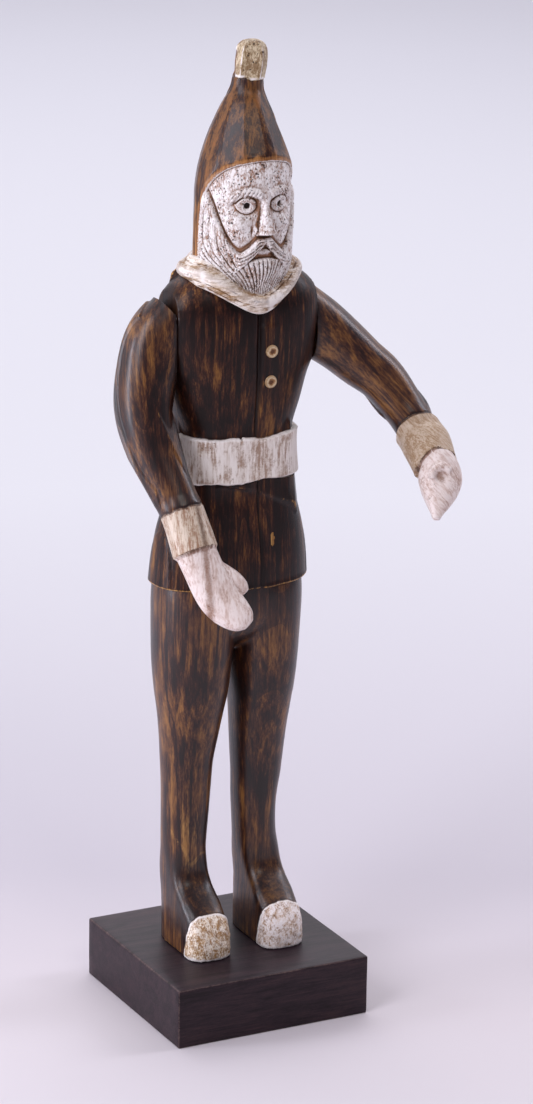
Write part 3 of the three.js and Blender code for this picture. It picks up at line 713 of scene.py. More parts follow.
def headPlace(turn, along):
    columns = np.interp(np.abs(turn) / math.pi, [0, head["frontShare"], 1], [0, 0.5, 1])
    turn = np.sign(turn) * columns * math.pi
    rise = np.interp(along, *np.array(head["rows"]).T) * share
    domeRow, domeFoot = head["dome"]
    dome = np.clip((along - domeRow) / (1 - domeRow), 0, 1) * math.pi / 2
    rise = np.where(dome > 0, (domeFoot + (1000 - domeFoot) * np.sin(dome)) * share, rise)
    reach = np.interp(along, [0, 0.004], [0, 1]) * np.cos(dome) ** 0.7
    held = np.minimum(rise, domeFoot * share)
    _, _, halfWidth, halfDepth = between(head["stations"], held / share) * share
    oval = oblong(turn, halfWidth, halfDepth, 2)

    inside = archInside(rise, turn, oval) + 0.3 * wander(np.abs(turn) * 3, rise * 0.12, 3)
    onFace = smooth((inside + head["rimWidth"]) / (2 * head["rimWidth"]))
    across = oval * np.sin(turn)
    front = smooth((head["archTurn"] - np.abs(turn)) / (15 * degree))
    sides = smooth((head["archTurn"] - np.abs(turn)) / (6 * degree))
    relief = front * faceRelief(across, rise) + sides * beardRelief(across, oval * turn, rise)
    skin = oval - head["rimStep"] + relief
    hat = oval - 0.5 * swell(inside + 1.2, 1.3) * (inside < 0)  # the rim is rolled over
    wave, rightUp = head["ledge"]
    ledge = head["bobble"] + wave * np.sin(turn * 2 + 1)
    ledge = ledge + rightUp * smooth((-np.sin(turn) - 0.2) * 2)
    onKnob = smooth((rise - ledge + 1) / 2)
    stripUp, stripTurn, *strip = head["strip"]
    ledge = ledge + stripUp * plateau(turn - stripTurn, *strip)
    hat = hat + head["bobbleProud"] * smooth((rise - ledge) / 0.8)
    knobFlat, knobGap = flatsRound(turn, head["bobbleFlats"])
    bent = turn + 0.05 * roundWander(turn, rise * 0.05, 9, 1)
    hatFlat, hatGap = flatsRound(bent, head["hatFlats"])
    overArch = smooth((rise - head["archTop"] + 12) / 25)
    onFlats = np.maximum(overArch, smooth((np.abs(turn) - 1.4) / 0.4))
    onFlats = onFlats * smooth((ledge - rise - 3) / 10)
    hat = hat * (1 + (np.minimum(knobFlat, 1) - 1) * onKnob)
    flatted = np.minimum(hatFlat * head["flatsOut"], head["flatsOut"])
    hat = hat * (1 + (flatted - 1) * onFlats * smooth(-inside / 6))
    radius = reach * (hat + (skin - hat) * onFace)

    holes = np.zeros_like(rise)
    for side in (-1, 1):
        away = np.hypot(across - side * fifth, rise - eyeRise)
        holes = np.maximum(holes, smooth((face["eye"] - away) / 0.45) * (np.cos(turn) > 0))
    radius = radius - face["eyeDepth"] * holes
    knob = np.clip(np.where(rise > ledge - 8, rise - ledge, -8), -8, 8)
    uneven = smooth(0.75 + 0.8 * wander(turn * 4, rise * 0.35, 7))
    ridges = swell(knobGap * oval, 0.5) * onKnob + 0.5 * swell(hatGap * oval, 0.5) * onFlats
    marks = {
        "paint": np.maximum(np.clip(inside + 0.25, -8, 8), knob),
        # painted shade: the drilled eye holes are coloured dark
        "dark": holes,
        "carve": 1 - onFace,
        "knob": knob,
        "second": smooth(knob + 4),
        "ridge": ridges * uneven,
    }
    sideways, back = between(head["stations"], rise / share)[:2] * share
    return upright(turn, radius, rise, back, sideways), marks


def makeHead():
    mesh = tube("head", 320, 280, headPlace)
    height = readPoints(mesh)[:, 2] - soles
    knob, inside = readMark(mesh, "knob"), readMark(mesh, "paint")
    onKnob = smooth(knob)
    upper = smooth((height - head["archTop"] + 75) / 30) * smooth(-knob / 2)
    onHat, edges = smooth(readMark(mesh, "carve")) * upper, readMark(mesh, "ridge")
    ridge = np.maximum(whittle(mesh, head["hatCut"], onHat), edges)
    knobRidge = np.maximum(0.5 * whittle(mesh, head["bobbleCut"], onKnob), edges)
    markShape(mesh, ridge)
    rim = 0.6 * swell(inside + 1.2, 1.3) + 0.45 * swell(inside, 5)
    rim = rim * ((knob < -7) & (inside < 0.5))
    foot = 0.9 * swell(knob - 0.8, 0.8) * (knob > 0) * (0.6 + 0.4 * np.sin(readPoints(mesh)[:, 0]))
    changeMark(mesh, "worn", knobRidge * onKnob + rim + foot, times=1 - onKnob)
    paints = head["facePaint"], head["look"], head["bobblePaint"]
    finishPiece("head", mesh, carvedFinish("painted face and stained hat", *paints), "body")


collar = {
    "front": 723 * share,
    "lift": 28 * share,  # how much higher the roll lies at the back
    "height": 12.0,
    "proud": 4.5,
    "back": -9.1 * share,
    "halfWidth": 57.5 * share,
    "halfDepth": 49.5 * share,
    "inner": 9.0,  # how far the roll reaches in under the beard
    "fuller": 2.4,  # how much it stands out further over the right shoulder
    "cut": {"seed": 4, "spacing": 7, "stretch": 1, "depth": 0.55, "straight": 0, "bend": 0.4},
    "paint": {
        "body": "#c4a780", "light": "#f7eee4", "stain": "#8a6438", "wash": 0.5, "chips": 0.35,
        "dirt": 1.8, "edges": 0.9, "brush": 1.2, "lines": (0.22, 0.22, 1.0),
        "smear": (0.35, 0.35, 1.0),
    },
}


def collarPlace(turn, along):
    angle = along * 2 * math.pi
    low = collar["front"] + collar["lift"] * smooth(np.abs(turn) / (70 * degree))
    oval = oblong(turn, collar["halfWidth"], collar["halfDepth"], 2)
    uneven = 1 + 0.05 * roundWander(turn, 0.7 * np.cos(angle), 11, 1.6)
    # the roll leans outwards: highest inside, fullest low down
    out = 0.5 * (collar["proud"] + collar["inner"]) * power(np.cos(angle), 0.85) * uneven
    up = 0.56 * collar["height"] * power(np.sin(angle), 0.85) * uneven
    middle = 0.5 * (collar["proud"] - collar["inner"])
    shelf = np.sin(angle * 4 + 1.2 + 0.6 * np.sin(turn * 2))  # long cuts round the roll
    radius = oval + middle + out - 0.28 * up + shelf * np.cos(angle)
    radius = radius + collar["fuller"] * swell(turn + 0.95, 0.5) * smooth(np.cos(angle) * 2 + 0.5)
    rise = low + 0.5 * collar["height"] + up - 0.12 * out + shelf * np.sin(angle)
    lines = groove(angle * 1.9 + 0.5 * roundWander(turn, 0, 17, 2), 0.3)
    lines = lines * smooth(0.6 + 0.8 * roundWander(turn, angle, 19, 3))
    return upright(turn, radius, rise, collar["back"]), {"lines": lines}


def makeCollar():
    mesh = tube("collar", 260, 60, collarPlace)
    ridge = whittle(mesh, collar["cut"])
    relax(mesh, 1)
    markShape(mesh, ridge)
    changeMark(mesh, "hollow", 0.9 * readMark(mesh, "lines"))
    writeMarks(mesh, paint=8, dark=0)  # painted all over
    finishPiece("collar", mesh, carvedFinish("rubbed paint, collar", collar["paint"]), "body")


jacket = {
    # height, how far the middle is set back, half width, half depth
    "stations": [
        (416, 9.8, 88.4, 58.1), (442, 8.7, 86.2, 57.2), (470, 7.6, 82.4, 54.4),
        (497, 6.2, 75.3, 50.8), (517, 5.1, 69, 47.7), (537, 4, 67.2, 46.3), (558, 2.7, 65.2, 45),
        (582, 1.1, 64.6, 44.5), (615, -0.9, 73.5, 46.3), (642, -2.4, 80.2, 48.1),
        (658, -3.3, 86, 49), (695, -5.1, 90.7, 49.5), (720, -6.4, 91.5, 47.2),
        (733, -7.1, 88.5, 43.6), (746, -7.8, 78.5, 39), (760, -8.5, 59.9, 35.4),
        (769, -9.1, 50.8, 32.7),
    ],
    "squareness": 2.4,
    "hem": 416 * share,
    "belt": 534 * share,
    "beltHeight": 27.0,
    "beltProud": 3.4,
    "beltWave": (0.7, 0.5),  # mm, long and short waves of its edges
    "ragged": (0.4, 0.25),  # mm, the same for the knife's unevenness
    "hemWave": 0.8,
    "shoulder": 45.0,  # the flat faces that the arms are set against
    "armholes": (628, 765),
    "neck": 768 * share,
    "groove": 1.7,
    "grooveWide": (0.8, 0.9, 2.3),  # mm at the belt's edges and under the collar
    "frontEdge": (7.5, 4.5, 2.6),  # mm to the left of the middle: at the hem, the belt, above
    "lap": 0.5,  # mm that the left edge lies over the right one
    "lapTop": 705 * share,
    "nick": (-0.28, 0.035, 1.3),  # in the belt's upper edge: turn, spread, mm deep
    "chip": (25.5, 468),  # a small pale chip on the skirt
    "chipSize": (1.3, 4.2),  # half its width and height in mm
    "clothCut": {"seed": 12, "spacing": 19, "stretch": 2.2, "depth": 1.8},
    "beltCut": {"seed": 14, "spacing": 6, "stretch": 5, "depth": 0.3, "bend": 0.5},
    "beltPaint": {
        "body": "#d6c9bd", "light": "#f3ece6", "stain": "#96735a", "wash": 0.33, "chips": 0.25,
        "dirt": 1.2, "brush": 1.4, "patch": 9.0, "lines": (1, 1, 0.12), "smear": (1, 1, 0.8),
    },
    "look": {"lift": -0.06, "pith": (5.0, 30.0, 0.0), "specular": 0.22, "coat": 0.08},
}


def jacketPlace(turn, along):
    hem, neck, low = jacket["hem"], jacket["neck"], jacket["belt"]
    high = low + jacket["beltHeight"]
    middle = low + 0.5 * (high - low)
    # place along the mesh, height, reach, how far proud, how much of the belt's wave
    rows = np.transpose([
        (0, hem + 3, 0, 0, 0), (0.01, hem + 0.4, 0.7, 0, 0), (0.03, hem, 0.985, 0, 0),
        (0.035, hem + 0.5, 1, 0, 0), (0.34, low - 3, 1, 0, 0), (0.37, low, 1, 0, 1),
        (0.39, low + 0.25, 1, 0.85, 1), (0.4, low + 0.9, 1, 1, 1), (0.5, middle, 1, 0.93, 0),
        (0.6, high - 0.9, 1, 1, -1), (0.61, high - 0.25, 1, 0.85, -1), (0.63, high, 1, 0, -1),
        (0.66, high + 3, 1, 0, 0), (0.99, neck, 1, 0, 0), (1, neck + 2, 0, 0, 0),
    ])
    rise, reach, proud, wave = (np.interp(along, rows[0], row) for row in rows[1:])
    long, short = jacket["beltWave"]
    beltWave = long * np.sin(2 * turn + 0.8) + short * np.sin(5 * turn)
    long, short = jacket["ragged"]
    ragged = long * roundWander(turn, 0, 21, 5) + short * roundWander(turn, 0, 22, 14)
    nickTurn, nickSpread, nickDepth = jacket["nick"]
    nick = nickDepth * swell(turn - nickTurn, nickSpread)
    rise = rise + wave * (beltWave + ragged) + np.minimum(wave, 0) * nick
    hemLine = smooth((hem + 12 - rise) / 12) * (along < 0.34) * reach
    rise = rise + hemLine * jacket["hemWave"] * roundWander(turn, 0, 31, 2.5)
    back, halfWidth, halfDepth = between(jacket["stations"], rise / share) * share
    radius = oblong(turn, halfWidth, halfDepth, jacket["squareness"])
    radius = radius + proud * jacket["beltProud"]
    x = radius * np.sin(turn)
    *skirtEdge, upperEdge = jacket["frontEdge"]
    edge = np.where(rise < low, np.interp(rise, [hem, low], skirtEdge), upperEdge)
    aside = x - edge - 0.25 * np.sin(rise * 0.13)
    onBelt = proud > 0.02
    onFront = (np.cos(turn) > 0) * ~onBelt
    wide = np.interp(rise, [low, high, 720 * share], jacket["grooveWide"])
    cut = jacket["groove"] * wide * np.exp(-np.abs(aside / wide) ** 1.6) * onFront
    lap = jacket["lap"] * smooth((aside + 0.2) / 0.6) * smooth((14 - aside) / 12) * onFront
    radius = (radius - cut + lap * (rise < jacket["lapTop"])) * reach
    points = upright(turn, radius, rise, back)
    bottom, top = jacket["armholes"]
    flatShoulder = (rise / share > bottom) & (rise / share < top)
    held = np.clip(points[:, 0], -jacket["shoulder"], jacket["shoulder"])
    points[:, 0] = np.where(flatShoulder, held, points[:, 0])
    paint = 0.5 * (high - low) - np.abs(rise - middle) + 0.4
    paint = np.where(onBelt, np.maximum(paint, 0.8), np.minimum(paint, -0.5))
    marks = {
        "paint": np.clip(paint, -8, 8),
        "belt": proud,
        "carve": (1 - smooth(proud * 4)) * smooth((rise - hem) / 3),
        "groove": cut,
        # a worn line beside the front edge, and painted highlight along the belt's top and bottom
        # edges
        "wearAndHighlight": 0.35 * swell(aside - 2.1, 0.6) * onFront + 0.6 * swell(paint - 0.8, 0.8) * onBelt,
    }
    return points, marks


def makeJacket():
    mesh = tube("jacket", 300, 250, jacketPlace)
    x, y, z = readPoints(mesh).T
    toShoulder = np.abs(x) - jacket["shoulder"]
    overArmhole = z > soles + jacket["armholes"][0] * share
    relax(mesh, 5, 0.5, swell(toShoulder + 0.6, 1.6) * overArmhole)
    where = readMark(mesh, "carve")
    away = swell(x - 4, 5) * (y < 0)
    ridge = whittle(mesh, jacket["clothCut"], where * (1 - 0.8 * away) * (toShoulder <= -0.05))
    beltRidge = whittle(mesh, jacket["beltCut"], smooth(readMark(mesh, "belt") * 3 - 2))
    markShape(mesh, np.maximum(ridge * where, beltRidge * 0.6))
    # painted shade in the seam where the arms are set against the flat shoulders; wear is left off
    # there
    armholeShade = swell(toShoulder, 2.5) * (z > 380)
    chipX, chipHeight = np.array(jacket["chip"]) * share
    chipWide, chipTall = jacket["chipSize"]
    chipped = np.hypot((x - chipX) / chipWide, (z - soles - chipHeight) / chipTall) < 1
    # the worn line and the pale chip are wear; the white along the belt's edges is painted
    # highlight
    wearAndHighlight = readMark(mesh, "wearAndHighlight") + 2 * (chipped & (y < 0))
    changeMark(mesh, "worn", wearAndHighlight, times=1 - armholeShade, most=2)
    changeMark(mesh, "hollow", readMark(mesh, "groove") / jacket["groove"] + 0.8 * armholeShade)
    writeMarks(mesh, dark=0)
    material = carvedFinish("stained jacket and painted belt", jacket["beltPaint"], jacket["look"])
    finishPiece("jacket", mesh, material, "body")


trousers = {
    # height, middle of the right and left leg, set back, half width right and left, half depth
    "legs": [
        (0, -43.6, 44.9, -2.4, 24.4, 24.8, 53), (12, -43.6, 44.9, -3, 24.4, 24.8, 53.6),
        (24, -43.6, 44.9, -2.5, 24.4, 24.7, 53.1), (35, -43.7, 45, -0.9, 24.2, 24.4, 51.5),
        (44, -43.8, 45.1, 2.1, 24, 24, 48.6), (51, -43.9, 45.2, 5.4, 23.7, 23.7, 45.4),
        (58, -44, 45.5, 10, 23.4, 23.1, 40.8), (65, -44.2, 45.4, 14.8, 23.1, 22.9, 36),
        (73, -44.3, 45.2, 19, 22.9, 22.7, 31.8), (83, -44.5, 44.6, 21.6, 22.7, 22.9, 29.2),
        (98, -44.5, 43.6, 22, 23.2, 23.4, 27.8), (126, -44.3, 41.2, 20.9, 24.7, 23.2, 27.2),
        (155, -43.6, 40.3, 20, 25.8, 24.3, 28.1), (183, -43.2, 41.9, 19.1, 26.9, 26.9, 29),
        (210, -43.2, 42.1, 18.1, 28.3, 28.9, 31.2), (238, -42.1, 42.1, 16.3, 31.4, 30.7, 34.5),
        (266, -41.4, 42.5, 14.5, 35, 32.8, 39), (293, -41.4, 42.1, 12.7, 39, 35.6, 44.5),
        (321, -41.6, 41.7, 11.8, 41.4, 37.9, 48.1), (348, -41.2, 41, 10.9, 42.8, 39.4, 50.6),
        (402, -41, 40.5, 10, 43.3, 41.7, 51.5), (433, -41, 40.5, 10, 41, 39, 46),
    ],
    # height, half width, half depth
    "seat": [(338, 18, 16), (352, 42, 34), (368, 68, 46), (388, 80, 50.5), (433, 80, 47)],
    "seatBack": 10,
    "seatSquareness": 2.4,
    "legSquareness": 2.1,
    "toeSquareness": 3.0,
    "heelSquareness": 2.6,
    "instep": 75.0,
    "capTilt": 12 * degree,
    "capLength": 14.0,
    "capProud": 0.9,
    "gouges": 0.35,  # how rough the toes are, as a share of that
    "toeTop": 45,  # mm over the soles
    "stainOnInstep": 0.55,
    # worn places: how much, mm to the left and spread, mm up and spread, mm back at most
    "shins": [(0.62, -26, 12, 75, 38, 12), (0.18, 26, 10, 130, 50, 8)],
    "voxel": 0.92,
    "legCut": {
        "seed": 33, "spacing": 14, "stretch": 5, "depth": 1.3, "straight": 0.3, "bend": 0.35,
    },
    "capCut": {
        "seed": 36, "spacing": 4, "stretch": 1.6, "depth": 0.85, "straight": 0, "bend": 0.15,
    },
    "footCut": {
        "seed": 35, "spacing": 9, "stretch": 1.5, "depth": 1.3, "straight": 0, "bend": 0.1,
    },
    "capPaint": {
        "body": "#cfa468", "light": "#fbf1e2", "stain": "#8f6124", "wash": 0.5, "dirt": 1.5,
        "edges": 1.0, "patch": 4.0, "lines": (1, 1, 0.7), "smear": (1, 1, 0.8),
    },
    "leftCapPaint": {"body": "#d9bfa8", "light": "#fdf6f4", "stain": "#987048", "wash": 0.34},
    "look": {"lift": 0.03, "pith": (-22.0, 6.0, 0.0), "coat": 0.24, "specular": 0.4},
}


def legPlace(side):
    # side 0 is the right leg and 1 the left
    def place(turn, along):
        done, reach = closedEnds(along, 0.02)
        height = done * trousers["legs"][-1][0]
        row = between(trousers["legs"], height) * share
        x, back, halfWidth, halfDepth = row[side], row[2], row[3 + side], row[5]
        inFoot = 1 - smooth((height - trousers["instep"]) / 40)
        ahead = np.cos(turn)
        inToes = np.where(ahead > 0, inFoot, 0)
        footSquareness = np.where(ahead > 0, trousers["toeSquareness"], trousers["heelSquareness"])
        exponent = 2 / (trousers["legSquareness"] * (1 - inFoot) + footSquareness * inFoot)
        straight = inToes * (halfDepth - halfWidth)
        ahead = power(ahead, exponent)
        forward = (halfDepth - straight) * ahead + straight * np.minimum(4 * ahead, 1)
        sideways = halfWidth * power(np.sin(turn), exponent)
        x, y = x + reach * sideways, back - reach * forward
        return np.stack([x, y, soles + height * share], 1), {}

    return place


def seatPlace(turn, along):
    done, reach = closedEnds(along, 0.03)
    low, high = trousers["seat"][0][0], trousers["seat"][-1][0]
    height = low + (high - low) * done
    halfWidth, halfDepth = between(trousers["seat"], height) * share
    radius = reach * oblong(turn, halfWidth, halfDepth, trousers["seatSquareness"])
    return upright(turn, radius, height * share, trousers["seatBack"] * share), {}


def capInside(points, side):
    # millimetres in front of the tilted plane that ends a toe cap
    foot = np.array(trousers["legs"][0]) * share
    x, back, depth, tilt = foot[1 + side], foot[3], foot[6], trousers["capTilt"]
    ahead = back - depth - trousers["capProud"] + trousers["capLength"] - points[:, 1]
    up = points[:, 2] - soles
    near = np.abs(points[:, 0] - x) < 25
    inside = ahead * math.cos(tilt) - up * math.sin(tilt)
    return np.where(near & (up < trousers["toeTop"]), inside, -8)


def makeTrousers():
    skins = [tube(f"leg {side}", 150, 240, legPlace(side)) for side in (0, 1)]
    mesh = fuse("trousers", [*skins, tube("seat", 90, 60, seatPlace)], trousers["voxel"])
    up = readPoints(mesh)[:, 2] - soles
    sole = smooth((up - 1.2) / 2.5)
    relax(mesh, 4, 0.5, sole)
    ahead = -readPoints(mesh)[:, 1] - 12
    toes = sole * smooth(ahead / 6) * (up < trousers["toeTop"])
    relax(mesh, 34, 0.5, toes)  # they are rounded over
    points = readPoints(mesh)
    x, y, z = points.T
    caps = np.maximum(capInside(points, 0), capInside(points, 1))
    caps = caps + 0.5 * wander(x * 0.35, z * 0.35, 41)
    onCap = smooth(caps + 0.5)
    ridge = whittle(mesh, trousers["legCut"], (1 - onCap) * smooth((up - 0.1) / 0.5))
    capRidge = whittle(mesh, trousers["capCut"], onCap)
    onInstep = plateau(up - 34, 16, 14) * (1 - onCap) * smooth(-y / 6 + 1)
    ridge = np.maximum(ridge, 0.4 * whittle(mesh, trousers["footCut"], onInstep))
    rough = wander(x * 1.1, z * 1.1, 45)  # gouges across the toes
    out = trousers["capProud"] * onCap * (1 + trousers["gouges"] * rough)
    points = readPoints(mesh) + readNormals(mesh) * out[:, None]
    points[:, 2] = np.maximum(points[:, 2], soles)
    writePoints(mesh, points)
    x, y, z = points.T
    markShape(mesh, np.maximum(ridge, capRidge))
    rims = onCap * np.maximum(swell(caps - 0.5, 0.9), swell(up, 1.3))
    rims = rims * (0.6 + 0.5 * wander(x * 0.5, z * 0.5, 43))
    worn = 0.5 * rims
    for strength, left, wide, above, tall, behind in trousers["shins"]:
        worn = worn + strength * swell(x - left, wide) * swell(up - above, tall) * (y < behind)
    changeMark(mesh, "worn", worn)
    changeMark(mesh, "hollow", trousers["stainOnInstep"] * onInstep)
    writeMarks(mesh, paint=np.clip(caps, -8, 8), dark=0, second=smooth(x / 6))
    paints = trousers["capPaint"], dict(trousers["capPaint"], **trousers["leftCapPaint"])
    name = "stained trousers and painted toes"
    material = carvedFinish(name, paints[0], trousers["look"], paints[1])
    finishPiece("trousers", mesh, material, "body")


arms = {
    "voxel": 0.66,
    "squareness": 2.2,
    "gap": 0.3,  # mm from the jacket's flat shoulder
    "shoulderFoot": 600 * share,  # the flat side of the shoulder lies above it
    "cuffReach": 75,  # mm from the cuff's end that cuff and hand lie within
    "dentAndShade": (0.6, 3.0, 0.7),  # hollow beside the thumb: mm deep, mm across, painted shade in it
    "dentEase": (14, 0.6, 4.5),  # smoothing there: steps, amount, mm across
    "sleeveCut": {
        "spacing": 11, "stretch": 5, "depth": 0.8, "bend": 0.8, "tilt": 0.015, "straight": 0,
        "even": 0.8,
    },
    "cuffCut": {
        "spacing": 9, "stretch": 8, "depth": 1.2, "bend": 0.06, "straight": 0.9, "even": 0.5,
    },
    "handCut": {"spacing": 10, "stretch": 3, "depth": 0.75, "bend": 0.15, "even": 0.7},
    "cuffPaint": {
        "body": "#b39a80", "light": "#d8c8b5", "wash": 0.4, "chips": 0.3, "lines": (1, 1, 0.12),
        "smear": (1, 1, 0.25),
    },
    "mittenPaint": {
        "body": "#cdb3a6", "light": "#efe2dc", "stain": "#b08f7f", "bare": "#80553a",
        "wash": 0.24, "chips": 0.12, "dirt": 0.9, "brush": 1.2, "lines": (1, 1, 0.25),
    },
    "look": {"lift": 0.03, "coat": 0.26, "specular": 0.42},
}
# Knots are the place to the left, the place back and the height. Sections are the place along,
# half width and half thickness.
rightArm = {
    "name": "right_arm",
    "side": -1,
    "sleeve": [
        (-69, -5.4, 705), (-90.7, -5.4, 687), (-105, -8.2, 655), (-111, -12.7, 617),
        (-106, -27.2, 575), (-90.5, -59.9, 518), (-84, -81.7, 477),
    ],
    "sections": [
        (0, 41, 26.5), (1, 37.5, 27), (2, 32.5, 29.5), (3, 29.5, 31.5), (4, 27, 28.5),
        (5, 22.7, 23.3), (6, 22.4, 22.5),
    ],
    "palm": [(-86, -77.5, 484), (-67, -106, 430), (-44.5, -131, 406)],
    "across": (0.773, -0.195, 0.6),
    "mitten": [
        (0, 22.5, 21.5), (0.2, 22, 18), (0.5, 22.5, 14.5), (0.75, 19.5, 12), (0.92, 14, 9),
        (1, 6.5, 5),
    ],
    "thumb": [(-65, -92, 460), (-51, -102, 449), (-38.5, -111, 436)],
    "thumbSections": [(0, 10, 9), (0.4, 10.5, 9), (0.8, 9, 7.5), (1, 4, 3.5)],
    "cuffLength": 25.0,
    "cuffProud": 1.6,
    "cuffShoulder": 0.9,
    "cuffLean": (0, 0, 0),
    "cuffFlare": 0.4,
    "teeth": 1.0,
    "cuffPaint": {},
    "seed": 51,
}
leftArm = {
    "name": "left_arm",
    "side": 1,
    "sleeve": [
        (69, -5.4, 699), (94.4, -7.3, 685), (118, -10.9, 667), (140.5, -20, 646),
        (161, -32.7, 627), (188.3, -67, 574.5), (188.6, -87.5, 561.5), (185.6, -110.7, 545.4),
    ],
    "sections": [
        (0, 40, 26.5), (1, 35, 27.5), (2, 31.5, 29.5), (3, 29, 29), (4, 26.4, 26.4),
        (5, 21.2, 21.2), (6, 22, 22), (7, 21, 21),
    ],
    "palm": [(186.6, -117.2, 561.3), (177.3, -135.1, 533.9), (159, -160.5, 504)],
    "across": (0.887, -0.461, 0),
    "mitten": [
        (0, 14, 21), (0.15, 20, 21.5), (0.4, 24.2, 19), (0.6, 21, 16.5), (0.8, 13, 11),
        (0.9, 8, 7.5), (0.96, 6, 5.5), (1, 4.5, 4),
    ],
    "thumb": [(162.6, -144.6, 544), (164.5, -141, 550.5), (173.5, -142, 556), (182.5, -149, 553)],
    "thumbSections": [(0, 3.5, 3.5), (0.35, 5, 5), (0.7, 5, 5), (1, 3, 3)],
    "hollow": (171.4, -148.4, 544.6),
    "cuffLength": 31.5,
    "cuffProud": 3.2,
    "cuffShoulder": 2.5,
    "cuffLean": (0.14, -0.07, 0),
    "cuffFlare": -0.45,
    "teeth": 0.4,
    "cuffPaint": {"stain": "#9c7850", "light": "#cdb9a2", "wash": 0.5},
    "seed": 61,
}


def placed(*knots):
    return np.array(knots, float) * share + [0, 0, soles]


def curvePoint(knots, t):
    # a smooth curve through the knots, which doesn't overshoot where they lie close
    chain = np.array([2 * knots[0] - knots[1], *knots, 2 * knots[-1] - knots[-2]])
    spans = len(knots) - 1
    at = np.clip(t * spans, 0, spans - 1e-9)
    first = at.astype(int)
    w = (at - first)[:, None]
    x0, x1, x2, x3 = (chain[first + k] for k in range(4))
    pairs = ((x0, x1), (x1, x2), (x2, x3))
    d0, d1, d2 = (np.sqrt(np.linalg.norm(b - a, axis=1))[:, None] for a, b in pairs)
    s1 = ((x1 - x0) / d0 - (x2 - x0) / (d0 + d1) + (x2 - x1) / d1) * d1
    s2 = ((x2 - x1) / d1 - (x3 - x1) / (d1 + d2) + (x3 - x2) / d2) * d1
    c2 = -3 * x1 + 3 * x2 - 2 * s1 - s2
    c3 = 2 * x1 - 2 * x2 + s1 + s2
    return x1 + s1 * w + c2 * w**2 + c3 * w**3


def curveAhead(knots, t):
    step = 1e-4
    ahead = curvePoint(knots, np.clip(t + step, 0, 1)) - curvePoint(knots, np.clip(t - step, 0, 1))
    return ahead / np.linalg.norm(ahead, axis=1)[:, None]


def sweepPlace(knots, guide, sections):
    def place(turn, along):
        t, reach = closedEnds(along, 0.02)
        centre, ahead = curvePoint(knots, t), curveAhead(knots, t)
        side = np.cross(ahead, guide)
        side /= np.linalg.norm(side, axis=1)[:, None]
        outward = np.cross(side, ahead)
        halfWidth, halfDepth = between(sections, t * sections[-1][0]) * share
        radius = reach * oblong(turn, halfWidth, halfDepth, arms["squareness"])
        points = centre + side * (radius * np.sin(turn))[:, None]
        return points + outward * (radius * np.cos(turn))[:, None], {}

    return place


def distance(mesh, spot):
    return np.linalg.norm(readPoints(mesh) - spot, axis=1)


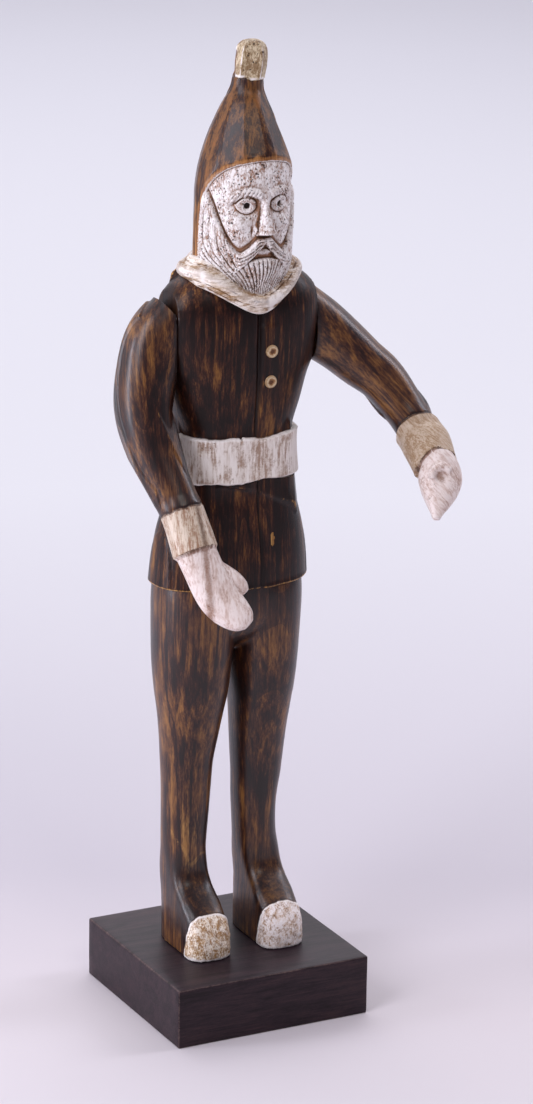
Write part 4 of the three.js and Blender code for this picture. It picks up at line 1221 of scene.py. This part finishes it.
def makeArm(arm):
    knots, thumbKnots, palm = (placed(*arm[key]) for key in ("sleeve", "thumb", "palm"))
    root, _, tip = palm
    palmNormal = np.cross(tip - root, arm["across"])
    palmNormal /= np.linalg.norm(palmNormal)
    sleeve = tube("sleeve", 120, 420, sweepPlace(knots, (0, 1, 0), arm["sections"]))
    # the top end is cut flat where it is set against the jacket
    points = readPoints(sleeve)
    inner, shoulderFoot = jacket["shoulder"] + arms["gap"], soles + arms["shoulderFoot"]
    clear = arm["side"] * np.maximum(arm["side"] * points[:, 0], inner)
    points[:, 0] = np.where(points[:, 2] > shoulderFoot, clear, points[:, 0])
    writePoints(sleeve, points)
    hand = tube("palm", 80, 90, sweepPlace(palm, palmNormal, arm["mitten"]))
    thumb = tube("thumb", 60, 60, sweepPlace(thumbKnots, palmNormal, arm["thumbSections"]))
    mesh = fuse(arm["name"], [sleeve, hand, thumb], arms["voxel"])

    # the cuff: raised, with an uneven upper edge
    points = readPoints(mesh)
    cuffEnd, ahead = knots[-1], curveAhead(knots, np.array([1.0]))[0]
    beyond = (points - cuffEnd) @ ahead
    near = distance(mesh, cuffEnd) < arms["cuffReach"]
    spread = points - cuffEnd - np.outer(beyond, ahead)
    away = np.linalg.norm(spread, axis=1)
    aside = np.cross(ahead, (0, 1, 0))
    teeth = np.arctan2(spread @ aside, spread @ np.cross(ahead, aside)) * 4 + arm["seed"]
    start = beyond + arm["cuffLength"] + 0.8 * np.abs(np.sin(teeth)) * arm["teeth"]
    start = start + spread @ arm["cuffLean"]
    raised = 1 - (1 - np.clip(start / arm["cuffShoulder"], 0, 1)) ** 2
    raised = raised * (1 + arm["cuffFlare"] * (smooth(start / arm["cuffLength"]) - 0.5))
    proud = arm["cuffProud"] * raised * (beyond < 0.6) * near * np.clip(away / 12, 0, 1) ** 2
    points = points + spread * (proud / np.maximum(away, 1))[:, None]
    writePoints(mesh, points)
    onHand = np.where(near, smooth((beyond - 0.3) / 0.8), 0)
    onCuff = np.where(near, smooth((start + 1) / 1.5), 0) * (1 - onHand)
    free = (np.abs(points[:, 0]) >= inner + 0.1) | (points[:, 2] <= shoulderFoot)
    step = swell(start, 2.0) * near + swell(beyond, 1.6) * near
    relax(mesh, 4, 0.5, (1 - 0.75 * np.clip(step, 0, 1)) * free)
    dentAndShade = 0
    if "hollow" in arm:
        (deep, across, stain), (steps, amount, eased) = arms["dentAndShade"], arms["dentEase"]
        dentAndShade = swell(distance(mesh, placed(arm["hollow"])), across)
        writePoints(mesh, readPoints(mesh) - readNormals(mesh) * (deep * dentAndShade)[:, None])
        relax(mesh, steps, amount, swell(distance(mesh, placed(arm["hollow"])), eased))
        # painted shade in the dent under the thumb's lip
        dentAndShade = stain * dentAndShade

    grain = knots[-1] - knots[0]
    onSleeve = np.where(near, smooth((-start - 0.5) / 8), 1) * free
    sleeveCut = dict(arms["sleeveCut"], grain=grain, seed=arm["seed"])
    ridge = 0.5 * whittle(mesh, sleeveCut, onSleeve)
    cuffCut = dict(arms["cuffCut"], grain=ahead, seed=arm["seed"] + 1)
    ridge = np.maximum(ridge, whittle(mesh, cuffCut, onCuff))
    thumbs = [swell(distance(mesh, knot), 7) for knot in thumbKnots]
    onPalm = onHand * (1 - 0.8 * np.max(thumbs, axis=0))
    handCut = dict(arms["handCut"], grain=tip - cuffEnd, seed=arm["seed"] + 2)
    markShape(mesh, np.maximum(ridge, whittle(mesh, handCut, onPalm)))
    # painted shade where the sleeve is set against the jacket's shoulder, where no wear is laid
    armholeShade = swell(points[:, 0] * arm["side"] - inner, 2.5)
    lip = 0.7 * swell(beyond + 0.5, 1.5) * near
    changeMark(mesh, "worn", 0, times=(1 - armholeShade) * (1 - lip))
    changeMark(mesh, "hollow", 0.8 * armholeShade + dentAndShade)
    paint = np.clip(np.where(near, start + 0.2, -8), -8, 8)
    writeMarks(mesh, paint=paint, dark=0, second=onHand)
    turned = Vector(grain).rotation_difference(Vector((0, 0, 1))).to_euler()
    cuffPaint, look = dict(arms["cuffPaint"], **arm["cuffPaint"]), dict(arms["look"], grain=turned)
    name = f"stained sleeve and painted mitten, {arm['name']}"
    material = carvedFinish(name, cuffPaint, look, arms["mittenPaint"])
    finishPiece(f"{arm['name']}_carved", mesh, material, arm["name"])


# Stained hardwood block, planed and waxed: close straight grain, nearly black, satin.
block = {
    "size": (127.0, 127.0, 37.0),
    "easing": 1.2,
    "worn": 1.4,  # mm from an edge
    "dark": "#1a1015",
    "middle": "#291c23",
    "light": "#3a282c",
    "edge": "#75625c",
    "roughness": 0.46,
    "specular": 0.2,
    "coat": 0.08,
    "coatRoughness": 0.3,
    # stretch, size in mm, detail, roughness, distortion
    "patterns": {
        "fine": ((0.05, 1, 1), 0.9, 4, 0.65, 0.2),
        "figure": ((0.14, 1, 1), 9.0, 4, 0.55, 1.2),
        "speck": ((0.4, 1, 1), 1.0, 3, 0.7, 0.0),
    },
}


def blockFinish():
    material, tree, place = newMaterial("stained hardwood, planed", (0, 0, 2 * degree))
    values = addNoises(tree, place, block["patterns"])
    tone = mixed(tree, values, {"figure": 0.3, "fine": 0.28, "speck": 0.12}, 0.56)
    stops = [(0.42, block["dark"]), (0.56, block["middle"]), (0.74, block["light"])]
    wood = addNode(tree, "ValToRGB", {0: tone}, stops=stops)
    values["worn"] = addNode(tree, "Attribute", output="Fac", attribute_name="worn")
    rubbed = mixed(tree, values, {"worn": 0.5, "figure": 0.3, "speck": 0.4})
    wood = layered(tree, wood, [(rubbed, -0.2, 0.5, 0.8, block["edge"])])
    bump = addNode(tree, "Bump", {"Strength": 0.4, "Distance": 0.0002, "Height": values["fine"]})
    shade(tree, wood, block["roughness"], bump, block)
    return material


def makeBlock():
    shape = bmesh.new()
    bmesh.ops.create_cube(shape, size=1)
    half = np.array(block["size"]) / 2
    bmesh.ops.scale(shape, vec=block["size"], verts=shape.verts)
    bmesh.ops.translate(shape, vec=(0, 0, half[2]), verts=shape.verts)
    edging = {"segments": 3, "profile": 0.5, "affect": "EDGES", "material": -1}
    bmesh.ops.bevel(shape, geom=shape.edges[:], offset=block["easing"], **edging)
    long = [edge for edge in shape.edges if edge.calc_length() > 20]
    bmesh.ops.subdivide_edges(shape, edges=long, cuts=24, use_grid_fill=True)
    mesh = toMesh(shape, "base block")
    points, normals = readPoints(mesh), readNormals(mesh)
    x, y, z = points.T
    uneven = 0.1 * wander(x * 0.05, y * 0.05 + z * 0.08, 71) * (z > 0.5)
    writePoints(mesh, points + normals * uneven[:, None])
    inset = half - np.abs(readPoints(mesh) - [0, 0, half[2]])
    nearest = np.sort(inset, axis=1)[:, 1]
    writeMarks(mesh, worn=np.clip(1 - nearest / block["worn"], 0, 1))
    finishPiece("block_planed", mesh, blockFinish(), "base_block")


button = {
    "radius": 3.8,
    "proud": 1.8,
    "depth": 5.0,
    "dish": 0.7,
    "shifts": {"upper_button": (-1.5, 1.0), "lower_button": (-0.8, 1.0)},  # to the left and up
    "stops": [(0.3, "#5a3519"), (0.5, "#a0764a"), (0.68, "#d2bd9c"), (0.95, "#a5855f")],
    "roughness": 0.55,
}


def buttonFinish():
    # Turned peg of light wood, dabbed with cream paint, with brown left in its middle.
    material, tree, place = newMaterial("painted wooden peg")
    values = addNoises(tree, place, {"patch": ((1, 1, 1), 1.6, 4, 0.6, 0.4)})
    values["ring"] = addNode(tree, "Attribute", output="Fac", attribute_name="ring")
    worn = mixed(tree, values, {"ring": 0.5, "patch": 0.4}, 0.5)
    tone = addNode(tree, "ValToRGB", {0: worn}, stops=button["stops"])
    inputs = {"Base Color": tone, "Roughness": button["roughness"], "IOR": 1.5}
    addNode(tree, "OutputMaterial", {"Surface": addNode(tree, "BsdfPrincipled", inputs)})
    return material


def makeButton(name, material):
    low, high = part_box(name)
    seat = Vector([(a + b) / 2 for a, b in zip(low, high)]) / millimetre
    radius, dish, deep = button["radius"], button["dish"], button["proud"] + button["depth"]
    profile = [
        (0, -dish * 0.6), (radius * 0.35, -dish * 0.5), (radius * 0.6, 0), (radius * 0.8, 0.05),
        (radius * 0.95, -0.35), (radius, -0.9), (radius, 0.2 - deep), (0, 0.2 - deep),
    ]
    shape = bmesh.new()
    line = [shape.verts.new((across, -along, 0)) for across, along in profile]
    edges = [shape.edges.new(pair) for pair in zip(line, line[1:])]
    spun = {"cent": (0, 0, 0), "axis": (0, 1, 0), "angle": 2 * math.pi, "steps": 40}
    bmesh.ops.spin(shape, geom=[*line, *edges], use_merge=True, **spun)
    bmesh.ops.remove_doubles(shape, verts=shape.verts, dist=1e-4)
    bmesh.ops.recalc_face_normals(shape, faces=shape.faces)
    mesh = toMesh(shape, name)
    points = readPoints(mesh)
    writeMarks(mesh, ring=np.hypot(points[:, 0], points[:, 2]) / radius)
    aside, above = button["shifts"][name]
    writePoints(mesh, points + [seat.x + aside, high[1] / millimetre - deep, seat.z + above])
    finishPiece(f"{name}_turned", mesh, material, name)


makeHead()
makeCollar()
makeJacket()
makeTrousers()
makeArm(rightArm)
makeArm(leftArm)
makeBlock()
pegFinish = buttonFinish()
for buttonName in button["shifts"]:
    makeButton(buttonName, pegFinish)
print("the figure is made")


studio = {
    # the paper's tone from 1 m in front of the figure to 4 m behind it
    # painted shade, darkest just behind the block, and painted light that grows far behind it
    "floor": [
        (0.16, "#d8d3d7"), (0.195, "#d6cfd3"), (0.24, "#c9c4cb"), (0.42, "#e1e1e5"),
        (0.88, "#ececf2"),
    ],
    "floorAhead": (0.453, 0.892, 0),  # away from the camera along the floor
    "backdrop": "#dedbe7",  # what the camera sees past the floor
    "sweep": "#f0ecf6",  # light from the pale paper behind the figure
    "room": "#6f6c78",  # light from the darker room in front of it
    # place, what it is turned to, size, watts, colour
    "lights": {
        "softbox left": ((-1.6, -0.7, 1.4), (0, 0, 0.3), (0.9, 1.3), 20.0, "#f7f5ff"),
        "softbox front": ((-0.1, -1.9, 1.9), (0, 0, 0.3), (0.7, 0.5), 7.0, "#fff6ee"),
        "strip right": ((1.5, -0.25, 1.3), (0, 0, 0.35), (0.35, 0.9), 9.0, "#f4f2ff"),
        "strip left": ((-1.4, 0.35, 0.45), (0, 0, 0.25), (0.3, 0.9), 9.5, "#eef0ff"),
        "light on the sweep": ((0.7, 2.0, 2.0), (0.3, 1.9, 0), (2.6, 2.6), 26.0, "#f9faff"),
    },
}

floorShape = bmesh.new()
bmesh.ops.create_grid(floorShape, x_segments=1, y_segments=1, size=20)
floor = addObject("floor", toMesh(floorShape, "floor"))
# Matt pale paper: no gleam; painted shade darkens it towards the camera, painted light lies far
# back.
paper, tree, place = newMaterial("matt paper sweep with painted shade")
inputs = {0: place, 1: studio["floorAhead"]}
away = addNode(tree, "VectorMath", inputs, "Value", operation="DOT_PRODUCT")
away = addNode(tree, "MapRange", {"Value": away, "From Min": -1000, "From Max": 4000})
paperShadeAndLight = addNode(tree, "ValToRGB", {0: away}, stops=studio["floor"])
inputs = {"Base Color": paperShadeAndLight, "Roughness": 0.9, "Specular IOR Level": 0.2}
addNode(tree, "OutputMaterial", {"Surface": addNode(tree, "BsdfPrincipled", inputs)})
floor.data.materials.append(paper)

world = bpy.data.worlds.new("soft room")
world.use_nodes = True
room = world.node_tree
room.nodes.clear()
toward = addNode(room, "TexCoord", output="Generated")
heading = addNode(room, "SeparateXYZ", {"Vector": toward}, "Y")
direct = addNode(room, "LightPath", output="Is Camera Ray")
rays = [(heading, -0.55, 0.45, 1, studio["sweep"]), (direct, 0, 1, 1, studio["backdrop"])]
seen = layered(room, colour(studio["room"]), rays)
sky = addNode(room, "Background", {"Color": seen, "Strength": 1.0})
addNode(room, "OutputWorld", {"Surface": sky})
bpy.context.scene.world = world

for name, (spot, aim, size, watts, tone) in studio["lights"].items():
    light = bpy.data.lights.new(name, "AREA")
    light.shape = "RECTANGLE"
    light.size, light.size_y = size
    light.energy = watts
    light.color = colour(tone)[:3]
    lamp = addObject(name, light)
    lamp.location = spot
    lamp.rotation_euler = (Vector(aim) - Vector(spot)).to_track_quat("-Z", "Y").to_euler()

view = {
    "azimuth": -27.47 * degree,
    "elevation": 16.94 * degree,
    "roll": 0.89 * degree,
    "place": (-1.0259, -2.0176, 0.9718),
    "focus": 4000,  # focal length in pixels of a frame 1104 high
    "frame": 1104,
}
azimuth, elevation, roll = (view[key] for key in ("azimuth", "elevation", "roll"))
flatBack = Vector((math.sin(azimuth), -math.cos(azimuth), 0))
back = flatBack * math.cos(elevation) + Vector((0, 0, math.sin(elevation)))  # to the camera
right = Vector((math.cos(azimuth), math.sin(azimuth), 0))
up = back.cross(right)
tilted = (
    right * math.cos(roll) + up * math.sin(roll),
    up * math.cos(roll) - right * math.sin(roll),
    back,
)
lens = bpy.data.cameras.new("camera")
lens.sensor_width = 36
lens.lens = view["focus"] / view["frame"] * lens.sensor_width
lens.clip_end = 100
camera = addObject("camera", lens)
turnedTo = Matrix(tilted).transposed().to_4x4()
camera.matrix_world = Matrix.Translation(Vector(view["place"])) @ turnedTo
bpy.context.scene.camera = camera
bpy.context.scene.view_settings.view_transform = "Standard"
print("floor, light and camera are set")
